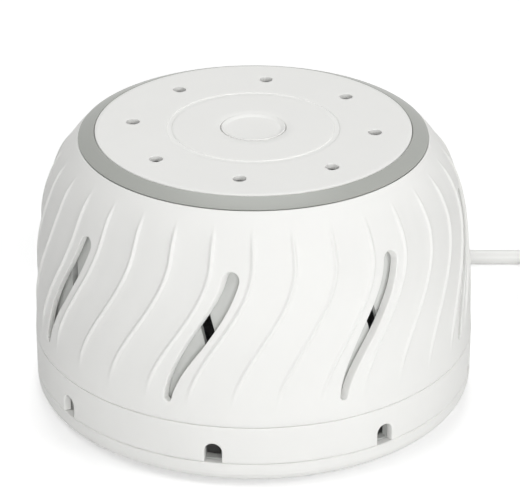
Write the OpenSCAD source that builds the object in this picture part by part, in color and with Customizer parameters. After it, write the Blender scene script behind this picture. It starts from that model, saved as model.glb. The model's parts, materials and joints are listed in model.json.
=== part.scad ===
// Fan sound machine. A ribbed cap and a collar turn on a fixed drum that holds a motor and a fan.
// Millimetres, +Z up, origin on the resting surface under the centre, front towards -Y.
// Angles round the body are counted in degrees from the front, towards +X.

/* [Body] */
// Widest diameter of the body
body_d = 146; // [138:1:160]
// Height of the rubber feet that show under the pan
foot_h = 1.9; // [1.2:0.1:4]
// Height of the base pan
pan_h = 7.1; // [6.6:0.1:10]
// Height of the tone collar
collar_h = 13; // [11:0.5:18]
// Height of the ribbed cap shell
cap_h = 67.6; // [63:0.2:80]
// Diameter of the cap shell at its upper edge
crown_d = 114.2; // [108:0.2:120]
// Height of the trim ring's slope above the cap shell
crown_rise = 2.6; // [2.2:0.1:4]
// Diameter of the top plate
plate_d = 103; // [96:0.5:106]
// How far the cap's straight side leans in over its height
side_draft = 4.4; // [1:0.1:7]
// How late and how hard the side turns into the crown
crown_power = 5.4; // [4:0.1:7]
// Gap at the seams between pan, collar and cap
seam_gap = 0.2; // [0.1:0.05:0.5]

/* [Walls] */
// Wall of the cap shell
shell_wall = 2.4; // [1.6:0.1:2.8]
// Wall of the fixed drum
drum_wall = 2.2; // [1.6:0.1:3]
// Air gap between cap shell and drum
drum_gap = 0.9; // [0.6:0.1:1.8]
// Wall of the collar
collar_wall = 2.4; // [1.8:0.1:2.8]
// Gap between collar and drum
collar_gap = 0.6; // [0.4:0.1:0.8]
// Wall of the base pan's rim
pan_wall = 2.4; // [1.8:0.1:2.6]
// Floor of the base pan
pan_floor = 2.4; // [2:0.1:3]
// Radius of the pan's rounded lower edge
pan_round = 4.4; // [3:0.1:5]
// Thickness of the top plate
plate_t = 1.8; // [1.4:0.1:2.2]
// Thickness of the drum's deck
deck_t = 2.2; // [1.8:0.1:3]

/* [Ribs and slots] */
// Number of raised ribs round the cap
rib_count = 32; // [16:8:40]
// Width of one rib at its foot
rib_w = 2.4; // [2:0.1:5]
// Height of one rib
rib_h = 0.6; // [0.3:0.1:1.2]
// Angle by which ribs and slots sweep round on their way down
sway_deg = 16.5; // [0:0.5:22]
// Number of S-shaped air slots, drum slits and top holes
slot_count = 8; // [4:1:8]
// Width of an S-shaped slot
slot_w = 5.2; // [3:0.1:6]
// Width of an S-shaped slot at its lower tip
slot_tip_w = 2.4; // [1.2:0.1:3]
// Angle of the first S-shaped slot at its upper end
slot_phase = -5.4; // [-20:0.1:20]
// Width of a slit in the drum
slit_w = 4; // [2:0.1:5]
// Lean of a slit from the vertical
slit_lean = 15.5; // [0:0.5:25]
// Angle of the first slit at its middle
slit_phase = -12.1; // [-22:0.1:22]

/* [Top] */
// Diameter of the round holes in the top plate
hole_d = 4.4; // [3:0.1:6]
// Radius of the ring of holes
hole_ring_r = 39.5; // [36:0.5:42]
// Angle of the first hole
hole_phase = -6.1; // [-22:0.1:22]
// Outer radius of the shallow groove round the button
groove_r = 28.1; // [24:0.1:31]
// Width of the groove
groove_w = 1.7; // [1:0.1:3]
// Diameter of the push button
button_d = 21; // [18:0.5:24]
// How far the button stands above the plate
button_rise = 0.1; // [0:0.1:1.5]
// Depth of the dished face of the button
button_dish = 0.6; // [0.2:0.1:0.8]
// Travel of the button
button_travel = 2; // [1:0.1:2.4]

/* [Collar ports] */
// Number of arched ports in the collar and in the drum behind it
port_count = 8; // [4:1:10]
// Width of a port
port_w = 5.7; // [4:0.1:7]
// Height of a port
port_h = 7; // [5:0.1:8]
// Angle of the first port
port_phase = -10; // [-20:0.5:20]

/* [Motion] */
// Turn of the cap towards its narrow openings
cap_turn_back = 12; // [6:1:14]
// Turn of the cap towards its lower openings
cap_turn_on = 14; // [6:1:16]
// Turn of the collar from open to shut
collar_turn = 12; // [8:1:16]
// Running gap between faces that slide on each other
slide_gap = 0.2; // [0.1:0.05:0.4]
// Radial clearance of a shaft in its bush
shaft_gap = 0.03; // [0.01:0.01:0.08]

/* [Motor and fan] */
// Height of the lamination stack
stack_h = 16; // [12:1:18]
// Diameter of the rotor
rotor_d = 25.4; // [20:0.1:30]
// Air gap round the rotor
air_gap = 0.4; // [0.3:0.05:0.8]
// Diameter of the motor shaft
shaft_d = 4; // [3:0.1:5]
// Length of a bearing bush
bush_l = 6; // [4:0.5:7]
// Distance between the two motor screws
motor_pitch = 40; // [38:1:44]
// Height of the rubber grommets under the motor
grommet_h = 5; // [4:0.5:7]
// Diameter of the fan wheel
fan_d = 76; // [60:1:84]
// Height of the fan blades
blade_h = 15; // [10:1:16]
// Number of fan blades
blade_count = 24; // [12:1:30]

/* [Switch] */
// Side of the square switch body
switch_w = 14; // [12:0.5:18]
// Height of the switch body
switch_h = 11; // [9:0.5:12]
// Diameter of the switch's bushing
bushing_d = 10; // [9:0.5:11]
// Diameter of the switch's plunger
plunger_d = 6.8; // [5:0.1:7.2]

/* [Power cord] */
// Diameter of the cord
cord_d = 5.2; // [5:0.1:5.4]
// Height of the cord's exit above the table
cord_exit_z = 5.9; // [5.8:0.1:6.2]
// Turns side by side in the stored coil
coil_columns = 4; // [3:1:5]
// Layers of turns in the stored coil
coil_layers = 2; // [1:1:3]
// Width of the plug
plug_w = 22; // [20:0.5:26]
// Length of the plug's moulded grip
plug_l = 24; // [20:1:30]

/* [Hidden] */
$fn = 48;
fine = 128;
eps = 0.01;

white = [0.93, 0.93, 0.92];
pale_grey = [0.8, 0.81, 0.8];
grey = [0.62, 0.64, 0.63];
dark = [0.2, 0.2, 0.21];
steel = [0.72, 0.73, 0.75];
zinc = [0.6, 0.61, 0.63];
copper = [0.72, 0.42, 0.24];
bronze = [0.68, 0.52, 0.3];

// Levels, from the table up
body_r = body_d / 2;
crown_r = crown_d / 2;
plate_r = plate_d / 2;
floor_top = foot_h + pan_floor;
pan_top = foot_h + pan_h;
collar_z = pan_top + seam_gap;
collar_top = collar_z + collar_h;
cap_z = collar_top + seam_gap;
cap_top = cap_z + cap_h;
plate_top = cap_top + crown_rise;
plate_z = plate_top - plate_t;

// The cap's outline: radius at a height, its slope, and a point set in along the normal
function crown_part(z) = min(1, max(0, (z - cap_z) / cap_h));
function outline_r(z) = body_r - side_draft * crown_part(z)
    - (body_r - side_draft - crown_r) * pow(crown_part(z), crown_power);
function outline_slope(z) = -(side_draft + (body_r - side_draft - crown_r) * crown_power
    * pow(crown_part(z), crown_power - 1)) / cap_h;
function set_in(z, depth) = let (s = outline_slope(z), n = sqrt(1 + s * s))
    [outline_r(z) - depth / n, z + depth * s / n];
// Heights from z0 up to z1 in n steps that close up towards the crown
function crown_steps(z0, z1, n) = [for (i = [0:n]) z1 - (z1 - z0) * pow(1 - i / n, 1.5)];
function reversed(list) = [for (i = [len(list) - 1:-1:0]) list[i]];
function smooth(t) = let (c = min(1, max(0, t))) c * c * (3 - 2 * c);

// Ribs and slots share one sweep
sway_top = cap_z + 0.796 * cap_h;
sway_bottom = cap_z + 0.074 * cap_h;
function sway(z) = -sway_deg * smooth((sway_top - z) / (sway_top - sway_bottom));
rib_fade = 7;
rib_low = cap_z + 0.07 * cap_h;
rib_high = cap_top - 3;
rib_deg = rib_w / body_r * 180 / PI;
slot_high = cap_z + 0.722 * cap_h;
slot_low = cap_z + 0.114 * cap_h;
slot_taper_z = cap_z + 0.41 * cap_h;
slit_mid = cap_z + 0.47 * cap_h;
slit_half = 0.325 * cap_h;

// Seats round the crown
ring_spigot_r = crown_r - 2.8;
ring_seat = 1.6;
lip_w = 2;
lip_t = 1.6;
seat_gap = 0.2;
plate_ledge = 2.8;
edge_chamfer = 0.3;
groove_depth = 0.3;
ring_slope_gap = 0.2;
ring_lip_t = 0.35;
ring_step = 0.1;
shell_rows = 14;
shell_inner_rows = 6;
shell_inner_rise = 3;

// Base pan
pan_rib_count = 12;
pan_rib_phase = 15;
pan_rib_t = 2;
pan_rib_l = 6;

// Drum
drum_depth = shell_wall + drum_gap;
skirt_r = body_r - collar_wall - collar_gap;
skirt_inner_r = skirt_r - drum_wall;
flange_r = body_r - pan_wall - seat_gap;
flange_w = 3.5;
flange_t = 2.2;
flange_z = pan_top - flange_t;
drum_shoulder_z = cap_top - 3.6;
drum_rows = 12;
drum_inner_rows = 10;
deck_fillet = 0.3;
deck_top = set_in(drum_shoulder_z, drum_depth)[1];
deck_z = deck_top - deck_t;
key_w = 3;
key_h = 2.2;
key_z = collar_top - 3.6;
key_depth = 1.1;
key_phase = 12.5;
key_play = 0.5;
port_play = 0.2;
lug_ring_r = skirt_inner_r - 5.3;
lug_r = 5;
lug_phase = 12.5;
lug_count = 4;
lug_h = 8;

// Fasteners
screw_r = 1.45;
screw_head_r = 3.2;
screw_head_h = 2.1;
hole_play = 0.2;
foot_r = 6;
foot_ring_r = body_r - 17;
foot_sink = 0.6;
foot_chamfer = 0.6;
recess_l = 3.6;
recess_w = 0.8;
recess_depth = 1;
thread_gap = 1;

// Cap screws ride in arc slots of the deck
boss_ring_r = 24;
boss_r = 4.5;
boss_phase = 30;
boss_count = 3;
shoulder_r = 2;
cap_screw_r = 1.6;
cap_screw_head_r = 3.8;
cap_screw_head_h = 2.4;
washer_t = 0.8;
washer_r = boss_r + 0.4;
boss_roof = 0.6;
vent_w = 8;
vent_deg = 26;

// Button, plunger and switch
button_r = button_d / 2;
button_top = plate_top + button_rise;
button_wall = 1.6;
button_skirt = 3.7;
button_edge = 0.3;
button_flat_r = button_r - 1.6;
bushing_r = bushing_d / 2;
bushing_up = 3.6;
nut_flats = 14;
nut_h = 2.5;
plunger_r = plunger_d / 2;
plunger_play = 0.05;
plunger_root = 4;
spring_wire_r = 0.3;
spring_r = bushing_r + 0.8;
spring_turns = 3;
spring_sides = 6;
spring_steps = 14;

// Motor, from the pan's posts up
motor_x = motor_pitch / 2;
post_r = 5;
post_h = 4.7;
post_top = floor_top + post_h;
strap_z = post_top + grommet_h;
strap_t = 2;
strap_w = 12;
stand_off = 2;
stand_off_r = 4.5;
stack_z = strap_z + strap_t + stand_off;
stack_top = stack_z + stack_h;
upper_strap_z = stack_top + stand_off;
upper_strap_top = upper_strap_z + strap_t;
bush_r = 4.5;
bush_clear = 1;
bracket_boss_r = 7.5;
lower_bush_z = stack_z - bush_clear - bush_l;
upper_bush_z = stack_top + bush_clear;
upper_bush_top = upper_bush_z + bush_l;
thrust_t = 0.4;
shaft_r = shaft_d / 2;
rotor_r = rotor_d / 2;
rotor_ring_h = 1;
rotor_ring_w = 1;
grommet_wall = 0.5;
grommet_groove_h = 1.4;
washer_inset = 0.6;
pole_bore_r = rotor_r + air_gap;
motor_screw_r = 1.9;
motor_hole_r = motor_screw_r + hole_play;
motor_head_r = 3.6;
motor_head_h = 2.6;

// Lamination outline
stack_half_x = motor_x + 6;
pole_half_y = pole_bore_r + 4;
window_half_x = motor_x - 4;
window_d = 14;
stack_round = 3;
pole_slit_w = 2;
pole_slit_l = 6;
back_slit_l = 1.5;
leg_w = 12;
leg_y = pole_half_y + window_d;
leg_out_y = leg_y + leg_w;
bobbin_half_x = 14;
bobbin_wall = 1;
bobbin_play = 0.2;
winding_w = 3.3;
bobbin_flange_w = winding_w + 1;
ring_bar = 1.6;
ring_x = 15;
ring_y = 9;

// Fan
fan_r = fan_d / 2;
fan_z = upper_bush_top + 3;
fan_plate_t = 1.6;
hub_r = 8;
hub_z = upper_bush_top + 1.5;
hub_top = fan_z + fan_plate_t + blade_h;
blade_t = 1.2;
fan_blade_l = 12;
blade_curve_r = 11;
blade_mid_r = fan_r - fan_blade_l / 2;
blade_shift_x = 9.35;
blade_shift_y = 3;
blade_inset = 0.4;
set_screw_drop = 4;
set_screw_gap = 0.3;
shroud_w = 3;
shroud_t = 1.6;
shaft_z = lower_bush_z - 0.5;
shaft_top = hub_top + 1.5;
set_screw_r = 1.5;

// Cord route, each point set by hand: out at the back, round behind the body, away to the right
cord_r = cord_d / 2;
cord_route = [
    [0, 66.5, 5.9], [0, 76, 5.9], [0, 86, 5.9], [0, 96.5, 5.9],
    [2, 105.5, 5.4], [7, 113.5, 4.5], [15, 118.5, 3.6], [24, 120.5, 3],
    [33, 118.5, 2.7], [41, 113.5, 2.6], [48.5, 106, 2.6], [56, 98.5, 2.6],
    [63, 91.5, 2.6], [68.5, 87.5, 2.6], [74.5, 85, 2.6], [81, 84, 2.6],
    [90, 84, 2.6], [100, 84, 2.6], [110, 84, 2.6], [120, 84, 2.6], [130, 84, 2.6], [141, 84, 2.6],
];
cord_sides = 8;
coil_inner_r = 20.8;
coil_outer_r = coil_inner_r + coil_columns * cord_d;
coil_centre = [141, 84 - coil_outer_r];
coil_h = coil_layers * cord_d;
tail_x = coil_centre[0] + coil_outer_r;
tail_z = coil_h - cord_r;
tail_l = 22;
tail_y = coil_centre[1] - tail_l;
tail_start = 14;

// Strain relief in the pan's rim
relief_neck_r = 3.1;
relief_collar_r = 4.2;
relief_end_r = 3;
relief_l = 20;
relief_collar_t = 2;
relief_step = 0.4;
relief_inner_y = body_r - 6.5;
relief_flange_w = 10;
relief_flange_t = 2;
relief_flange_h = 5.8;
relief_flange_y = flange_r - 2 * seat_gap - relief_flange_t;
relief_y = body_r + 0.5;
relief_pocket_y = relief_inner_y - relief_flange_t;
relief_pocket_end = flange_r + seat_gap / 2;
relief_pocket_z = cord_exit_z - relief_flange_h / 2 - seat_gap;

// Plug
blade_pitch = 12.7;
blade_w = 6.35;
blade_thick = 1.5;
blade_l = 17;
blade_root = 6;
blade_hole_r = 1.6;
blade_hole_in = 4;
boot_l = 14;
boot_r = 4.5;
plug_round = 5;
plug_taper = 10;

// Lead wires, each point set by hand between the cord, the connectors, the coil and the switch
wire_r = 0.9;
wire_sides = 6;
wire_parts = 3;
wire_stub = 0.8;
wire_pair_x = 1;
connector_r = 3;
connector_tip_r = 2.2;
connector_l = 12;
connector_x = 22;
connector_y = skirt_inner_r - 13.8;
connector_z = floor_top + connector_r;
connector_pair_y = 1.1;
terminal_x = 3.5;
terminal_t = 0.8;
terminal_w = 2.4;
terminal_l = 4;
terminal_z = deck_z - switch_h - terminal_l;
coil_lead_x = 9;
coil_lead_z = stack_z + stack_h / 2;
coil_lead_y = leg_out_y + bobbin_play + bobbin_wall + winding_w;
riser_y = coil_lead_y + 4.5;
over_fan_y = fan_r + 5;
lead_z = terminal_z + terminal_l / 2;

// ---- shared shapes ----

// Copies children at equal angles, the first one turned by phase
module around(n, phase = 0) {
    for (k = [0:n - 1])
        rotate([0, 0, phase + k * 360 / n])
            children();
}

// A ring's stretch from angle a0 to a1, counted from the front
module ring_sector(r0, r1, z0, h, a0, a1) {
    rotate([0, 0, a0 - 90])
        rotate_extrude(angle = a1 - a0, $fn = fine)
            translate([r0, z0])
                square([r1 - r0, h]);
}

// An arc slot that a pin at radius r swings through from a0 to a1, with room for it at both ends
module arc_slot(r, half_w, z0, h, a0, a1) {
    end_deg = half_w / r * 180 / PI;
    ring_sector(r - half_w, r + half_w, z0, h, a0 - end_deg, a1 + end_deg);
}

// A flat outline in the front plane, pushed out from radius r0 to r1
module front_prism(r0, r1) {
    translate([0, -r0, 0])
        rotate([90, 0, 0])
            linear_extrude(r1 - r0)
                children();
}

// An arch that stands on z0
module arch_2d(w, h, z0) {
    translate([-w / 2, z0])
        square([w, h - w / 2]);
    translate([0, z0 + h - w / 2])
        circle(d = w);
}

module tube_between(r0, r1, z0, h) {
    translate([0, 0, z0])
        difference() {
            cylinder(r = r1, h = h);
            translate([0, 0, -1])
                cylinder(r = r0, h = h + 2);
        }
}

module rounded_square(size, r) {
    for (x = [-1, 1])
        for (y = [-1, 1])
            translate([x * (size[0] / 2 - r), y * (size[1] / 2 - r)])
                circle(r = r);
    square([size[0] - 2 * r, size[1]], center = true);
    square([size[0], size[1] - 2 * r], center = true);
}

// Round tube through a list of points that never head along the direction up
function unit(v) = v / norm(v);
function heading(p, i) = unit(p[min(i + 1, len(p) - 1)] - p[max(i - 1, 0)]);
function ring_at(c, d, r, sides, up) = let (u = unit(cross(up, d)), v = cross(d, u))
    [for (k = [0:sides - 1]) c + r * (cos(360 * k / sides) * u + sin(360 * k / sides) * v)];
module sweep_tube(p, r, sides, up = [0, 0, 1]) {
    n = len(p);
    points = [for (i = [0:n - 1]) each ring_at(p[i], heading(p, i), r, sides, up)];
    walls = [for (i = [0:n - 2], k = [0:sides - 1])
        let (a = i * sides + k, b = i * sides + (k + 1) % sides)
            each [[a, a + sides, b], [b, a + sides, b + sides]]];
    ends = [[for (k = [0:sides - 1]) k], [for (k = [sides - 1:-1:0]) (n - 1) * sides + k]];
    polyhedron(points, concat(walls, ends), convexity = 6);
}

// Smooth line through hand-set points
function curve_point(p, i, t) = let (
    a = p[max(i - 1, 0)],
    b = p[i],
    c = p[i + 1],
    d = p[min(i + 2, len(p) - 1)]
) 0.5 * (2 * b + (c - a) * t + (2 * a - 5 * b + 4 * c - d) * t * t
    + (3 * b - a - 3 * c + d) * t * t * t);
function curve_through(p, parts) = concat(
    [for (i = [0:len(p) - 2], k = [0:parts - 1]) curve_point(p, i, k / parts)],
    [p[len(p) - 1]]
);

// ---- base ----

function pan_outline() = concat(
    [[0, foot_h]],
    [for (a = [-90:15:0]) [
        body_r - pan_round + pan_round * cos(a),
        foot_h + pan_round + pan_round * sin(a)
    ]],
    [[body_r, pan_top - edge_chamfer], [body_r - edge_chamfer, pan_top]],
    [[body_r - pan_wall, pan_top]],
    [for (a = [0:-30:-90]) [
        body_r - pan_round + (pan_round - pan_wall) * cos(a),
        floor_top + (pan_round - pan_wall) * (1 + sin(a))
    ]],
    [[0, floor_top]]
);

module base_pan() {
    color(white)
        difference() {
            union() {
                rotate_extrude($fn = fine)
                    polygon(pan_outline());
                around(pan_rib_count, pan_rib_phase)
                    translate([-pan_rib_t / 2, -(skirt_r - eps), floor_top - eps])
                        cube([pan_rib_t, pan_rib_l, flange_z - floor_top + eps]);
                around(lug_count, lug_phase)
                    translate([0, -lug_ring_r, floor_top - eps])
                        cylinder(r = lug_r, h = flange_z - floor_top + eps);
                for (x = [-motor_x, motor_x])
                    translate([x, 0, floor_top - eps])
                        cylinder(r = post_r, h = post_h + eps);
            }
            around(lug_count, lug_phase)
                translate([0, -lug_ring_r, foot_h - 1]) {
                    cylinder(r = screw_r + hole_play, h = pan_h);
                    cylinder(r = screw_head_r + hole_play, h = 1 + screw_head_h + hole_play);
                }
            around(4, 45)
                translate([0, -foot_ring_r, foot_h - 1])
                    cylinder(r = foot_r, h = 1 + foot_sink);
            for (x = [-motor_x, motor_x])
                translate([x, 0, floor_top - 1])
                    cylinder(r = motor_screw_r, h = post_h + 2);
            cord_notch();
        }
}

// The way through the rim for the strain relief, open at the top, and the pocket inside it
module cord_notch() {
    translate([0, relief_inner_y, cord_exit_z]) {
        rotate([-90, 0, 0])
            cylinder(r = relief_neck_r, h = 20);
        translate([-relief_neck_r, 0, 0])
            cube([2 * relief_neck_r, 20, 20]);
    }
    relief_pocket(pan_top + 1);
}

// Room for the strain relief's inner flange, up to a level
module relief_pocket(top) {
    translate([-relief_flange_w / 2 - seat_gap, relief_pocket_y, relief_pocket_z])
        cube([relief_flange_w + 2 * seat_gap, relief_pocket_end - relief_pocket_y, top - relief_pocket_z]);
}

module rubber_feet() {
    color(dark)
        around(4, 45)
            translate([0, -foot_ring_r, 0]) {
                cylinder(r1 = foot_r - foot_chamfer, r2 = foot_r, h = foot_chamfer);
                translate([0, 0, foot_chamfer])
                    cylinder(r = foot_r, h = foot_h + foot_sink - foot_chamfer);
            }
}

module drum_screws() {
    color(steel)
        around(lug_count, lug_phase)
            translate([0, -lug_ring_r, foot_h + hole_play]) {
                difference() {
                    cylinder(r = screw_head_r, h = screw_head_h);
                    cross_recess();
                }
                cylinder(r = screw_r, h = flange_z - foot_h - hole_play + lug_h - 2 * thread_gap);
            }
}

// The cross in a screw head, sunk from its outer face
module cross_recess() {
    for (a = [0, 90])
        rotate([0, 0, a])
            translate([-recess_l / 2, -recess_w / 2, -recess_depth])
                cube([recess_l, recess_w, 2 * recess_depth]);
}

// The drum's inner wall from the deck down
drum_inside = reversed([for (z = crown_steps(cap_z + 1, drum_shoulder_z, drum_inner_rows))
    if (set_in(z, drum_depth + drum_wall)[1] < deck_z)
        set_in(z, drum_depth + drum_wall)]);
function drum_outline() = concat(
    [[flange_r - flange_w, flange_z], [flange_r, flange_z], [flange_r, pan_top]],
    [[skirt_r, pan_top], [skirt_r, collar_top]],
    [for (z = crown_steps(cap_z + 1, drum_shoulder_z, drum_rows)) set_in(z, drum_depth)],
    [[bushing_r + hole_play, deck_top], [bushing_r + hole_play, deck_z]],
    [[drum_inside[0][0] - deck_fillet, deck_z]],
    drum_inside,
    [[skirt_inner_r, collar_top], [skirt_inner_r, pan_top]],
    [[flange_r - flange_w, pan_top]]
);

module slit_2d() {
    translate([0, slit_mid])
        rotate([0, 0, slit_lean]) {
            square([slit_w, 2 * slit_half], center = true);
            for (s = [-1, 1])
                translate([0, s * slit_half])
                    circle(d = slit_w);
        }
}

module inner_drum() {
    color(pale_grey)
        difference() {
            union() {
                rotate_extrude($fn = fine)
                    polygon(drum_outline());
                around(lug_count, lug_phase)
                    translate([0, -lug_ring_r, flange_z])
                        cylinder(r = lug_r, h = lug_h);
            }
            around(lug_count, lug_phase)
                translate([0, -lug_ring_r, flange_z - 1])
                    cylinder(r = screw_r, h = lug_h - thread_gap);
            around(slot_count, slit_phase)
                front_prism(outline_r(slot_high) - drum_depth - drum_wall - 6, body_r)
                    slit_2d();
            around(port_count, port_phase)
                front_prism(flange_r - flange_w - 2, body_r)
                    arch_2d(port_w + 2 * port_play, port_h, collar_z);
            around(2)
                ring_sector(
                    skirt_r - key_depth, body_r, key_z - key_play, key_h + 2 * key_play,
                    key_phase - key_deg / 2 - 1, key_phase + collar_turn + key_deg / 2 + 1
                );
            around(boss_count, boss_phase)
                arc_slot(
                    boss_ring_r, shoulder_r + hole_play, deck_z - 1, deck_t + 2,
                    -cap_turn_back, cap_turn_on
                );
            around(slot_count, hole_phase)
                arc_slot(hole_ring_r, vent_w / 2, deck_z - 1, deck_t + 2, -vent_deg / 2, vent_deg / 2);
            relief_pocket(pan_top + seat_gap);
        }
}
key_deg = key_w / skirt_r * 180 / PI;

// ---- collar ----

function collar_outline() = [
    [body_r - collar_wall, collar_z],
    [body_r - edge_chamfer, collar_z],
    [body_r, collar_z + edge_chamfer],
    [body_r, collar_top - edge_chamfer],
    [body_r - edge_chamfer, collar_top],
    [body_r - collar_wall, collar_top],
];

module tone_collar() {
    color(white) {
        difference() {
            rotate_extrude($fn = fine)
                polygon(collar_outline());
            around(port_count, port_phase)
                front_prism(body_r - collar_wall - 2, body_r + 2)
                    arch_2d(port_w, port_h + 1, collar_z - 1);
        }
        around(2)
            ring_sector(
                skirt_r - key_depth + key_play, body_r - collar_wall + 0.5, key_z, key_h,
                key_phase - key_deg / 2, key_phase + key_deg / 2
            );
    }
}

// ---- cap ----

function rib_height(z) = rib_h * smooth((z - rib_low) / rib_fade)
    * smooth((rib_high - z) / rib_fade);
rib_steps = [-rib_deg / 2, -rib_deg / 6, rib_deg / 6, rib_deg / 2, 180 / rib_count];
rib_share = [0, 1, 1, 0, 0];
shell_columns = [for (k = [0:rib_count - 1], j = [0:4])
    [k * 360 / rib_count + rib_steps[j], rib_share[j]]];

// One upright cut through the shell: the outside, the seat for the trim ring, then the inside
function shell_section(rib) = concat(
    [for (z = crown_steps(cap_z, cap_top, shell_rows)) [outline_r(z) + rib * rib_height(z), z]],
    [[ring_spigot_r + seat_gap, cap_top], [ring_spigot_r + seat_gap, cap_top - ring_seat]],
    [[ring_spigot_r - lip_w, cap_top - ring_seat]],
    [[ring_spigot_r - lip_w, cap_top - ring_seat - lip_t]],
    reversed([for (z = crown_steps(cap_z + shell_inner_rise, cap_top - ring_seat, shell_inner_rows))
        set_in(z, shell_wall)]),
    [[body_r - shell_wall, cap_z]]
);

module wave_shell() {
    sections = [for (c = shell_columns) [for (p = shell_section(c[1])) [p, c[0] + sway(p[1])]]];
    m = len(sections[0]);
    n = len(sections);
    points = [for (s = sections) each [for (q = s)
        [q[0][0] * sin(q[1]), -q[0][0] * cos(q[1]), q[0][1]]]];
    faces = [for (i = [0:n - 1], j = [0:m - 1])
        let (
            a = i * m + j,
            b = i * m + (j + 1) % m,
            c = ((i + 1) % n) * m + (j + 1) % m,
            d = ((i + 1) % n) * m + j
        ) each [[a, b, c], [a, c, d]]];
    polyhedron(points, faces, convexity = 10);
}

// The directions in which the mould's four side parts pull out of the slots
slot_pulls = [-36, 54, 144, 234];
function turned_from(a, b) = a - b - 360 * round((a - b) / 360);
function slot_pull(middle) = let (
    far = [for (p = slot_pulls) abs(turned_from(p, middle))],
    nearest = [for (i = [0:len(far) - 1]) if (far[i] == min(far)) slot_pulls[i]]
) nearest[0];

function slot_half(z) = slot_w / 2 - (slot_w - slot_tip_w) / 2
    * min(1, max(0, (slot_taper_z - z) / (slot_taper_z - slot_low)));
function slot_tilt(z) = atan(outline_r(z) * (sway(z + 0.5) - sway(z - 0.5)) * PI / 180);
// A point of a slot's edge, across (0) or along (90) its line, as seen the way the mould pulls
function slot_point(z, side, turn) = let (
    across = slot_half(z) * cos(side - slot_tilt(z)),
    y = z + slot_half(z) * sin(side - slot_tilt(z))
) [outline_r(y) * sin(turn + sway(z) + across / outline_r(z) * 180 / PI), y];
slot_steps = 12;
function slot_levels() = [for (i = [0:slot_steps])
    slot_low + (slot_high - slot_low) * i / slot_steps];

module slot_2d(turn) {
    polygon(concat(
        [for (z = slot_levels()) slot_point(z, 0, turn)],
        [for (side = [20:20:160]) slot_point(slot_high, side, turn)],
        [for (z = reversed(slot_levels())) slot_point(z, 180, turn)],
        [for (side = [200:20:340]) slot_point(slot_low, side, turn)]
    ));
}

module cap_shell() {
    color(white)
        difference() {
            wave_shell();
            for (k = [0:slot_count - 1]) {
                at = slot_phase + k * 360 / slot_count;
                pull = slot_pull(at - sway_deg / 2);
                rotate([0, 0, pull])
                    front_prism(0, body_r + 3)
                        slot_2d(at - pull);
            }
        }
}

module trim_ring() {
    color(grey)
        rotate_extrude($fn = fine)
            polygon([
                [plate_r + seat_gap, plate_z],
                [plate_r + seat_gap, plate_top - ring_step],
                [crown_r - ring_slope_gap, cap_top + ring_lip_t],
                [crown_r - ring_slope_gap, cap_top],
                [ring_spigot_r, cap_top],
                [ring_spigot_r, cap_top - ring_seat],
                [plate_r - plate_ledge, cap_top - ring_seat],
                [plate_r - plate_ledge, plate_z],
            ]);
}

module top_plate() {
    color(white)
        difference() {
            union() {
                translate([0, 0, plate_z])
                    cylinder(r = plate_r, h = plate_t - edge_chamfer, $fn = fine);
                translate([0, 0, plate_top - edge_chamfer])
                    cylinder(r1 = plate_r, r2 = plate_r - edge_chamfer, h = edge_chamfer, $fn = fine);
                around(boss_count, boss_phase)
                    translate([0, -boss_ring_r, deck_top + slide_gap])
                        cylinder(r = boss_r, h = plate_z - deck_top - slide_gap + eps);
            }
            translate([0, 0, plate_z - 1])
                cylinder(r = button_r + slide_gap, h = plate_t + 2);
            tube_between(groove_r - groove_w, groove_r, plate_top - groove_depth, 1);
            around(slot_count, hole_phase)
                translate([0, -hole_ring_r, plate_z - 1])
                    cylinder(d = hole_d, h = plate_t + 2);
            around(boss_count, boss_phase)
                translate([0, -boss_ring_r, deck_top])
                    cylinder(r = cap_screw_r, h = plate_z - deck_top - boss_roof);
        }
}

washer_z = deck_z - slide_gap - washer_t;

module cap_screws() {
    color(steel)
        around(boss_count, boss_phase)
            translate([0, -boss_ring_r, washer_z]) {
                translate([0, 0, -cap_screw_head_h])
                    difference() {
                        cylinder(r = cap_screw_head_r, h = cap_screw_head_h);
                        cross_recess();
                    }
                cylinder(r = shoulder_r, h = deck_top + slide_gap - washer_z);
                cylinder(r = cap_screw_r, h = plate_z - thread_gap - washer_z);
            }
}

module glide_washers() {
    color(white)
        around(boss_count, boss_phase)
            translate([0, -boss_ring_r, 0])
                tube_between(shoulder_r, washer_r, washer_z, washer_t);
}

// ---- button and switch ----

module power_button() {
    color(white)
        rotate_extrude($fn = fine)
            polygon(concat(
                [[0, button_top - button_wall], [0, button_top - button_dish]],
                [[button_flat_r, button_top - button_dish]],
                [for (a = [90:-18:0]) [
                    button_r - button_edge + button_edge * cos(a),
                    button_top - button_edge + button_edge * sin(a)
                ]],
                [[button_r, button_top - button_skirt]],
                [[button_r - button_wall, button_top - button_skirt]],
                [[button_r - button_wall, button_top - button_wall]]
            ));
}

plunger_z = deck_z - plunger_root;

module switch_plunger() {
    color(white)
        translate([0, 0, plunger_z])
            cylinder(r = plunger_r, h = button_top - button_wall - plunger_z);
}

module button_spring() {
    z0 = deck_top + nut_h + spring_wire_r;
    z1 = button_top - button_wall - spring_wire_r;
    steps = spring_turns * spring_steps;
    color(steel)
        sweep_tube(
            [for (i = [0:steps]) [
                spring_r * cos(360 * i / spring_steps),
                spring_r * sin(360 * i / spring_steps),
                z0 + (z1 - z0) * i / steps
            ]],
            spring_wire_r, spring_sides
        );
}

module switch_body() {
    color(dark)
        difference() {
            union() {
                translate([-switch_w / 2, -switch_w / 2, deck_z - switch_h])
                    cube([switch_w, switch_w, switch_h]);
                translate([0, 0, deck_z - eps])
                    cylinder(r = bushing_r, h = deck_t + bushing_up + eps);
                for (x = [-terminal_x, terminal_x])
                    translate([x - terminal_t / 2, -terminal_w / 2, terminal_z])
                        cube([terminal_t, terminal_w, terminal_l + eps]);
            }
            translate([0, 0, plunger_z - button_travel - slide_gap])
                cylinder(r = plunger_r + plunger_play, h = switch_h + deck_t + bushing_up);
        }
}

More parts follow.
